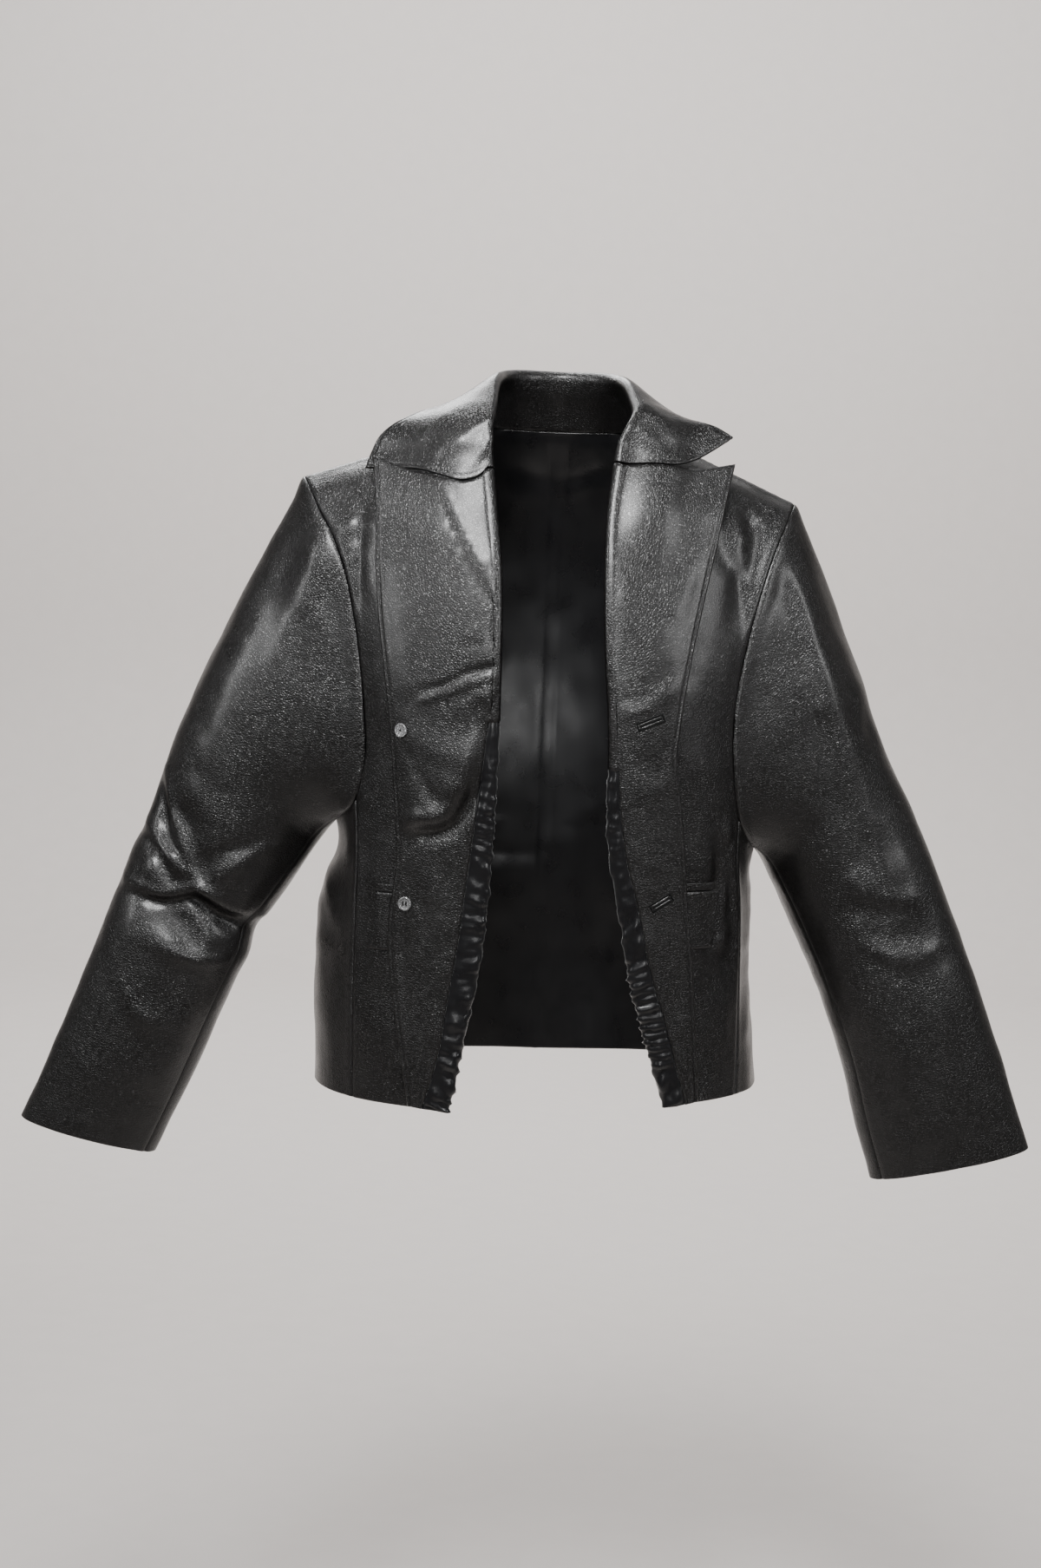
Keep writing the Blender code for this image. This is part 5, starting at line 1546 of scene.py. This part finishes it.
def dressed_collar(facings):
    top, under = collar_sheets(fronts, facings)
    pieces = []
    for sheet, outside in ((top, 1), (under, -1)):
        cloth, rows, columns = refined(sheet, [5] * COLLAR_ROWS, [4] * (len(COLLAR_PLACES) - 1))
        # the stand goes down into the neck seam, except near the collar's two ends
        down = cloth.points[:, 0] - cloth.points[:, 2]
        down *= np.minimum(cloth.from_bottom[:, 0], cloth.from_top[:, 0])[:, None] > 25
        cloth.points[:, 0] += down / (np.linalg.norm(down, axis=1, keepdims=True) + 1e-9) * NECK_LIFT * 1.5
        cloth.measure()
        if outside < 0:
            cloth = Cloth(cloth.points, not cloth.flip)
        total = edge_press(cloth.from_last) * 0.9
        free = np.clip((columns - 4) / 4, 0, 1)[None, :]
        total += free * (edge_press(cloth.from_bottom) + edge_press(cloth.from_top)) * 0.7
        total += 0.5 * seam_roll(cloth.from_first)
        loose = clear_of(cloth.from_last, cloth.from_first, cloth.from_bottom, cloth.from_top)
        total += outside * loose * creases(cloth, COLLAR_CREASES, -outside)
        total += 0.35 * ripple(cloth.points, 60, 61) * loose
        pieces.append(cloth.push(total))
    return pieces


def dressed_pocket(name, front):
    """Flap and welt on the creased forepart."""
    pieces = []
    tables = (
        (pocket_rows(front, -FLAP_DEPTH, 0, 3), FLAP_THICK, [6] * 3),
        (pocket_rows(front, SEAM_GAP, SEAM_GAP + WELT_DEPTH, 1), WELT_THICK, [6]),
    )
    for rows, thick, counts in tables:
        sheet = on_front(front, rows, (SHELL_THICK + thick) / 2 + POCKET_GAP)
        cloth, _, _ = refined(sheet, counts, [6] * POCKET_COLUMNS, (False, False, True, True))
        total = 0.8 * creases(cloth, FOREPART_CREASES[name])
        pieces.append(cloth.push(np.maximum(total, -0.2)))
    return pieces


# ---------------------------------------------------------------- buttons and buttonholes


STAY_LIFT = 0.3  # a stay button stands this far off the facing
STRAND_ASIDE = 0.28  # two strands of thread lie this far either side of a hole's middle
STRAND_RADIUS = 0.45
LIP_ASIDE = 1.75  # a buttonhole's two lips, from the slit to the middle of each
LIP_RADIUS = 0.9
LIP_INSET = 1.8  # and how far short of the slit's ends they stop
FRAME_ASIDE = 3.6  # the thread round them, from the slit
TWIST_RADIUS = 0.85


def surface_at(cloth, x, z, thick):
    """The point and normal on a cloth's outside, seen from the front at x and z."""
    points, normals = cloth.points[cloth.valid], cloth.normals[cloth.valid]
    away = (points[:, 0] - x) ** 2 + (points[:, 2] - z) ** 2
    away[normals[:, 1] > -0.2] = 1e9  # the cloth faces away there
    near = np.argsort(away)[:6]
    share = 1 / (away[near] + 0.05)
    share /= share.sum()
    normal = unit((normals[near] * share[:, None]).sum(axis=0))
    points, normals = points[near], normals[near]
    slope = ((x - points[:, 0]) * normals[:, 0] + (z - points[:, 2]) * normals[:, 2]) / normals[:, 1]
    point = np.array([x, float(((points[:, 1] - slope) * share).sum()), z])
    return point + normal * thick / 2, normal


def flat_axes(normal):
    """Two directions across a button: along its face, level and then upwards."""
    level = unit(np.cross(normal, np.array([0.0, 0.0, 1.0])))
    return level, np.cross(normal, level)


def turned_button(name, centre, normal, diameter, thick, holes, finish):
    """A turned button, its sewing holes cut right through."""
    level, upwards = flat_axes(normal)

    def lathe(solid_name, middle, profile, sides):
        turns = whole_turn(sides)[:, None]
        around = level * np.cos(turns) + upwards * np.sin(turns)
        vertices = np.concatenate([middle + around * radius + normal * height for radius, height in profile])
        return add_mesh(solid_name, vertices, tube_faces(0, len(profile), sides), [finish])

    # the outline is rounded at about a button's own proportions
    wide, high = 10, 4
    rounded = curve([(radius * wide, height * high) for radius, height in BUTTON_PROFILE])
    profile = [rounded(share) for share in np.linspace(0, 1, 24)]
    made = lathe(name, centre, [(r / wide * diameter / 2, h / high * thick) for r, h in profile], 56)
    for k in range(holes):
        turn = math.pi / 4 + 2 * math.pi * k / holes
        reach = HOLE_PITCH / 2 if holes > 1 else 0
        middle = centre + (level * math.cos(turn) + upwards * math.sin(turn)) * reach
        cutter = lathe("cutter", middle, [(HOLE_DIAMETER / 2, -thick), (HOLE_DIAMETER / 2, thick)], 18)
        cut = made.modifiers.new("sewing_hole", "BOOLEAN")
        cut.object, cut.operation = cutter, "DIFFERENCE"
        bpy.context.view_layer.update()
        whole = bpy.data.meshes.new_from_object(made.evaluated_get(bpy.context.evaluated_depsgraph_get()))
        made.modifiers.clear()
        made.data = whole
        bpy.data.objects.remove(cutter, do_unlink=True)
    made.data.shade_smooth()
    made.data.set_sharp_from_angle(angle=math.radians(40))
    return made


def sewn_through(centre, normal, thick, holes):
    """Lines of thread over a button: across between its holes, or through its one hole to both sides."""
    level, upwards = flat_axes(normal)
    reach = HOLE_PITCH / 2 * math.cos(math.pi / 4)
    columns, length = ((-reach, reach), reach) if holes > 1 else ((0,), HOLE_DIAMETER / 2)
    along = np.linspace(-1, 1, 9)
    arch = 0.5 * (1 - along**2) - 0.9 * np.abs(along) ** 6
    lines = []
    for aside in columns:
        for shift in (-STRAND_ASIDE, STRAND_ASIDE):
            middle = centre + level * (aside + shift) + normal * thick * 0.22
            points = middle + np.outer(along * length, upwards) + np.outer(arch, normal)
            lines.append((points, np.tile(normal, (len(along), 1))))
    return lines


def cord_mesh(name, lines, finish, radius, sides=7):
    """Thin round strands along lines of (points, normals)."""
    vertices, faces = [], []
    for points, normals in lines:
        faces += tube_faces(len(vertices), len(points), sides)
        for point, direction, up in zip(points, np.gradient(points, axis=0), normals):
            aside = unit(np.cross(up, direction))
            for turn in whole_turn(sides):
                vertices.append(point + radius * (aside * math.cos(turn) + unit(up) * math.sin(turn)))
    return add_mesh(name, np.array(vertices), faces, [finish])


def buttonhole(name, cloth, ends, finish, stitch):
    """A jetted buttonhole: two narrow lips along the slit, a close frame of thread round them, and a dark
    strand down the slit that is painted shade of the opening.
    """
    start, end = np.array(ends[:2], float), np.array(ends[2:], float)
    run = unit(end - start)
    aside = np.array([-run[1], run[0]])
    length = float(np.linalg.norm(end - start))

    def line(along, across, rise):
        flat = start + np.outer(along, run) + np.outer(across, aside)
        found = [surface_at(cloth, x, z, FACING_THICK) for x, z in flat]
        return np.array([p + n * rise for p, n in found]), np.array([n for _, n in found])

    places = np.linspace(LIP_INSET, length - LIP_INSET, 14)
    lips = [line(places, np.full(14, side * LIP_ASIDE), 0.1) for side in (-1, 1)]
    lips_mesh = cord_mesh(name + "_lips", lips, finish, LIP_RADIUS, 9)
    half = FRAME_ASIDE
    corners = [(0, -half), (length, -half), (length, half), (0, half), (0, -half)]
    runs = [np.linspace(a, b, 9)[:-1] for a, b in zip(corners[:-1], corners[1:])]
    around = np.concatenate([*runs, [corners[0]]])
    # the frame's thread, then a strand down the middle of the slit between the lips: painted shade of the
    # opening, not thread
    strands = [line(around[:, 0], around[:, 1], -0.1), line(places, np.zeros(14), 0.1)]
    return lips_mesh, cord_mesh(name + "_thread", strands, stitch, TWIST_RADIUS)


# ---------------------------------------------------------------- making

# Cloth coated with black polyurethane and embossed like fine leather. Its smooth film gives back the lights as
# broad soft streaks along every crease, and the pebbles break up their edges.
leather = grained("black_faux_leather_fine_grain_satin", "090808", "100f0f", 0.31)
# The same cloth on the turned-back parts: a little paler, and a touch rougher, so more even to the eye.
facing_leather = grained("black_faux_leather_facing_satin", "0a0909", "111010", 0.32)
# Polyester satin, woven with long smooth threads: each pleat has a thin bright line and a soft sheen beside it.
satin_lining = satin("black_polyester_satin", "0b0b0d", "111113", 0.3)
# Spun polyester thread, dull and a little fuzzy: a row of small dashes that only just stand out on the leather.
sewing_thread = plain("black_polyester_thread_matt", "0b0b0c", "111112", 0.6, 0.4, 0.05, IOR=1.5)
# Thick twisted thread, the dullest thing on the jacket: it draws the buttonholes' frames as dark lines, and a
# strand of it down each slit is painted shade of the opening.
twist_and_slit_shade = plain(
    "black_buttonhole_twist_and_painted_slit_shade_matt", "050505", "080808", 0.85, 0.4, 0.05, Specular_IOR_Level=0.2
)
# Cast polyester resin, tumbled to half gloss: one soft highlight on the rim.
button_plastic = plain("black_polyester_resin_semi_gloss", "0d0d0e", "121213", 0.24, 3, 0.01, IOR=1.55)
# Polished clear acrylic: the leather shows through it, and small sharp glints mark its edge.
clear_plastic = plain(
    "clear_acrylic_gloss", "dfe0e2", "eeeeef", 0.09, 3, 0.01,
    IOR=1.49, Transmission_Weight=0.85, Specular_IOR_Level=0.6,
)
# Matt paper, uncoated: it takes the light evenly, with no shine and no line where floor and wall meet.
paper = plain("pale_seamless_paper_matt", "d2ccc8", "d9d3cf", 0.9, 6, 0.02)


def finish_piece(piece, slot, *nodes):
    if nodes:
        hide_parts(*nodes)
    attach(piece, "root")
    return piece


fronts = {name: Front(name) for name in SIDES}
made, stitch_lines, facings = {}, [], {}
coarse_facings = {}  # without creases: the collar's ends follow these, as they do in the solids


def make_cloth(name, cloth, thick, outside, inside, slot):
    made[name] = finish_piece(wall("look_" + name, cloth, thick, outside, inside), slot, name)


def stitched(cloth, distance, thick, others, stop=None):
    """Adds the topstitching along one edge of a cloth."""
    stitch_lines.append(line_at(cloth, distance, STITCH_INSET, thick / 2 + STITCH_RISE, others, stop))


back = dressed_back(fronts)
make_cloth("back", back, SHELL_THICK, leather, satin_lining, "shell")
for name, front in fronts.items():
    cloth, rows, columns = dressed_front(name, front)
    make_cloth("front_" + name, cloth, SHELL_THICK, leather, satin_lining, "shell")
    facing, lining = facing_and_lining(name, front, cloth, rows, columns)
    facings[name] = facing
    coarse_facings[name] = facing_sheet(front, front_sheet(front))
    make_cloth("facing_" + name, facing, FACING_THICK, facing_leather, facing_leather, "facing")
    make_cloth("lining_" + name, lining, LINING_THICK, satin_lining, satin_lining, "lining")
    make_cloth("side_" + name, dressed_side(name, front), SHELL_THICK, leather, satin_lining, "shell")
    for part, sleeve in zip(("top", "under"), dressed_sleeves(name, front)):
        make_cloth(f"sleeve_{name}_{part}", sleeve, SHELL_THICK, leather, satin_lining, "shell")
    flap, welt = dressed_pocket(name, front)
    make_cloth("flap_" + name, flap, FLAP_THICK, leather, satin_lining, "shell")
    make_cloth("welt_" + name, welt, WELT_THICK, leather, leather, "shell")

    stitched(facing, facing.from_first, FACING_THICK, [facing.from_top])
    notch = int((columns <= NOTCH_COLUMN).sum())
    stitched(turned_grid(facing), facing.from_top.T, FACING_THICK, [facing.from_first.T], notch)
    for distance in (flap.from_first, flap.from_last):
        stitched(flap, distance, FLAP_THICK, [flap.from_bottom])
    stitched(turned_grid(flap), flap.from_bottom.T, FLAP_THICK, [flap.from_first.T, flap.from_last.T])

collar, under_collar = dressed_collar(coarse_facings)
make_cloth("collar", collar, COLLAR_THICK, leather, leather, "shell")
make_cloth("under_collar", under_collar, COLLAR_THICK, leather, leather, "shell")
stitched(collar, collar.from_last, COLLAR_THICK, [collar.from_bottom, collar.from_top])

for k, ends in enumerate(BUTTONHOLES):
    for piece in buttonhole(f"buttonhole_{k}", facings["left"], ends, facing_leather, twist_and_slit_shade):
        finish_piece(piece, "facing")
finish_piece(thread("topstitching", stitch_lines, sewing_thread), "shell")

strands = []
for place, z, stay_inset, hole_count in BUTTONS:
    at = button_places(fronts["right"], z)
    point, normal = at(BUTTON_INSET)
    centre = point - normal * ((SHELL_THICK + BUTTON_THICK) / 2 + LAYER_GAP)
    piece = turned_button(
        "look_button_" + place, centre, -normal, BUTTON_DIAMETER, BUTTON_THICK, 0, button_plastic
    )
    finish_piece(piece, "button", "button_" + place)
    point, _ = at(stay_inset)
    point, normal = surface_at(facings["right"], point[0], point[2], FACING_THICK)
    centre = point + normal * (STAY_THICK / 2 + STAY_LIFT)
    piece = turned_button(
        "look_stay_button_" + place, centre, normal, STAY_DIAMETER, STAY_THICK, hole_count, clear_plastic
    )
    finish_piece(piece, "stay_button", "stay_button_" + place)
    strands += sewn_through(centre, normal, STAY_THICK, hole_count)
finish_piece(cord_mesh("button_thread", strands, twist_and_slit_shade, STRAND_RADIUS), "shell")

# ---------------------------------------------------------------- the stage: floor, sweep, lights, camera

FLOOR_Z = -1.48


def sweep_mesh(name, half_width, profile, finish):
    """A floor that curves up into a wall: the profile's points (y, z) drawn out sideways. Metres."""
    vertices = np.array([(side * half_width, y, z) for y, z in profile for side in (-1, 1)])
    faces = [(2 * k, 2 * k + 1, 2 * k + 3, 2 * k + 2) for k in range(len(profile) - 1)]
    add_mesh(name, vertices / MM, faces, [finish])


def area_light(name, place, target, width, height, power, spread):
    """A softbox; a spread under 180 degrees is a grid on its front, which keeps its light off the floor."""
    lamp = bpy.data.lights.new(name, "AREA")
    lamp.shape, lamp.size, lamp.size_y, lamp.energy = "RECTANGLE", width, height, power
    lamp.spread = math.radians(spread)
    light = add_object(name, lamp)
    light.location = place
    light.rotation_mode = "QUATERNION"
    light.rotation_quaternion = (Vector(target) - Vector(place)).to_track_quat("-Z", "Y")


bend_points = [(5 + math.sin(t), FLOOR_Z + 1 - math.cos(t)) for t in np.linspace(0, math.pi / 2, 13)]
sweep_mesh("floor_sweep", 9, [(-7, FLOOR_Z), (4.5, FLOOR_Z), *bend_points, (6, 5)], paper)

LIGHTS = [
    # name, place and target in metres, width, height, watts, spread in degrees
    ("key", (-0.3, -1.75, 1.75), (0, 0, -0.2), 1.0, 0.7, 23, 75),
    ("front", (0.25, -3.1, 0.35), (0, 0, -0.2), 0.7, 0.9, 1.6, 60),
    ("side_left", (1.7, -1.2, 0.7), (0, 0, -0.3), 0.5, 1.2, 3.6, 80),
    ("side_right", (-1.8, -1.0, 0.6), (0, 0, -0.3), 0.4, 1.2, 3.0, 80),
    ("behind", (-0.6, 1.9, 1.5), (0, 0, -0.3), 1.0, 1.0, 8, 80),
    ("backdrop", (0, 2.6, 2.6), (0, 5.5, -0.6), 5.0, 1.0, 330, 180),
]
for light in LIGHTS:
    area_light(*light)
world = bpy.data.worlds.new("studio")
world.use_nodes = True
background = world.node_tree.nodes["Background"]
background.inputs["Color"].default_value = (0.84, 0.83, 0.82, 1)
background.inputs["Strength"].default_value = 0.15
bpy.context.scene.world = world

# The camera stands as the photograph's did: a little above, turned a little to one side in its own plane.
CAMERA_TARGET = Vector((-0.026, 0, -0.36))
CAMERA_DISTANCE = 2.6
CAMERA_PITCH, CAMERA_ROLL = math.radians(6), math.radians(2.1)
SENSOR_HEIGHT = 36
FOCAL_SHARE = 2954.5 / 1807  # the focal length in pixels over the picture's height
camera = add_object("camera", bpy.data.cameras.new("camera"))
looking = Vector((0, math.cos(CAMERA_PITCH), -math.sin(CAMERA_PITCH)))
camera.location = CAMERA_TARGET - looking * CAMERA_DISTANCE
camera.rotation_mode = "QUATERNION"
camera.rotation_quaternion = looking.to_track_quat("-Z", "Y") @ Quaternion((0, 0, 1), CAMERA_ROLL)
camera.data.sensor_fit = "VERTICAL"
camera.data.sensor_height = SENSOR_HEIGHT
camera.data.lens = SENSOR_HEIGHT * FOCAL_SHARE
bpy.context.scene.camera = camera
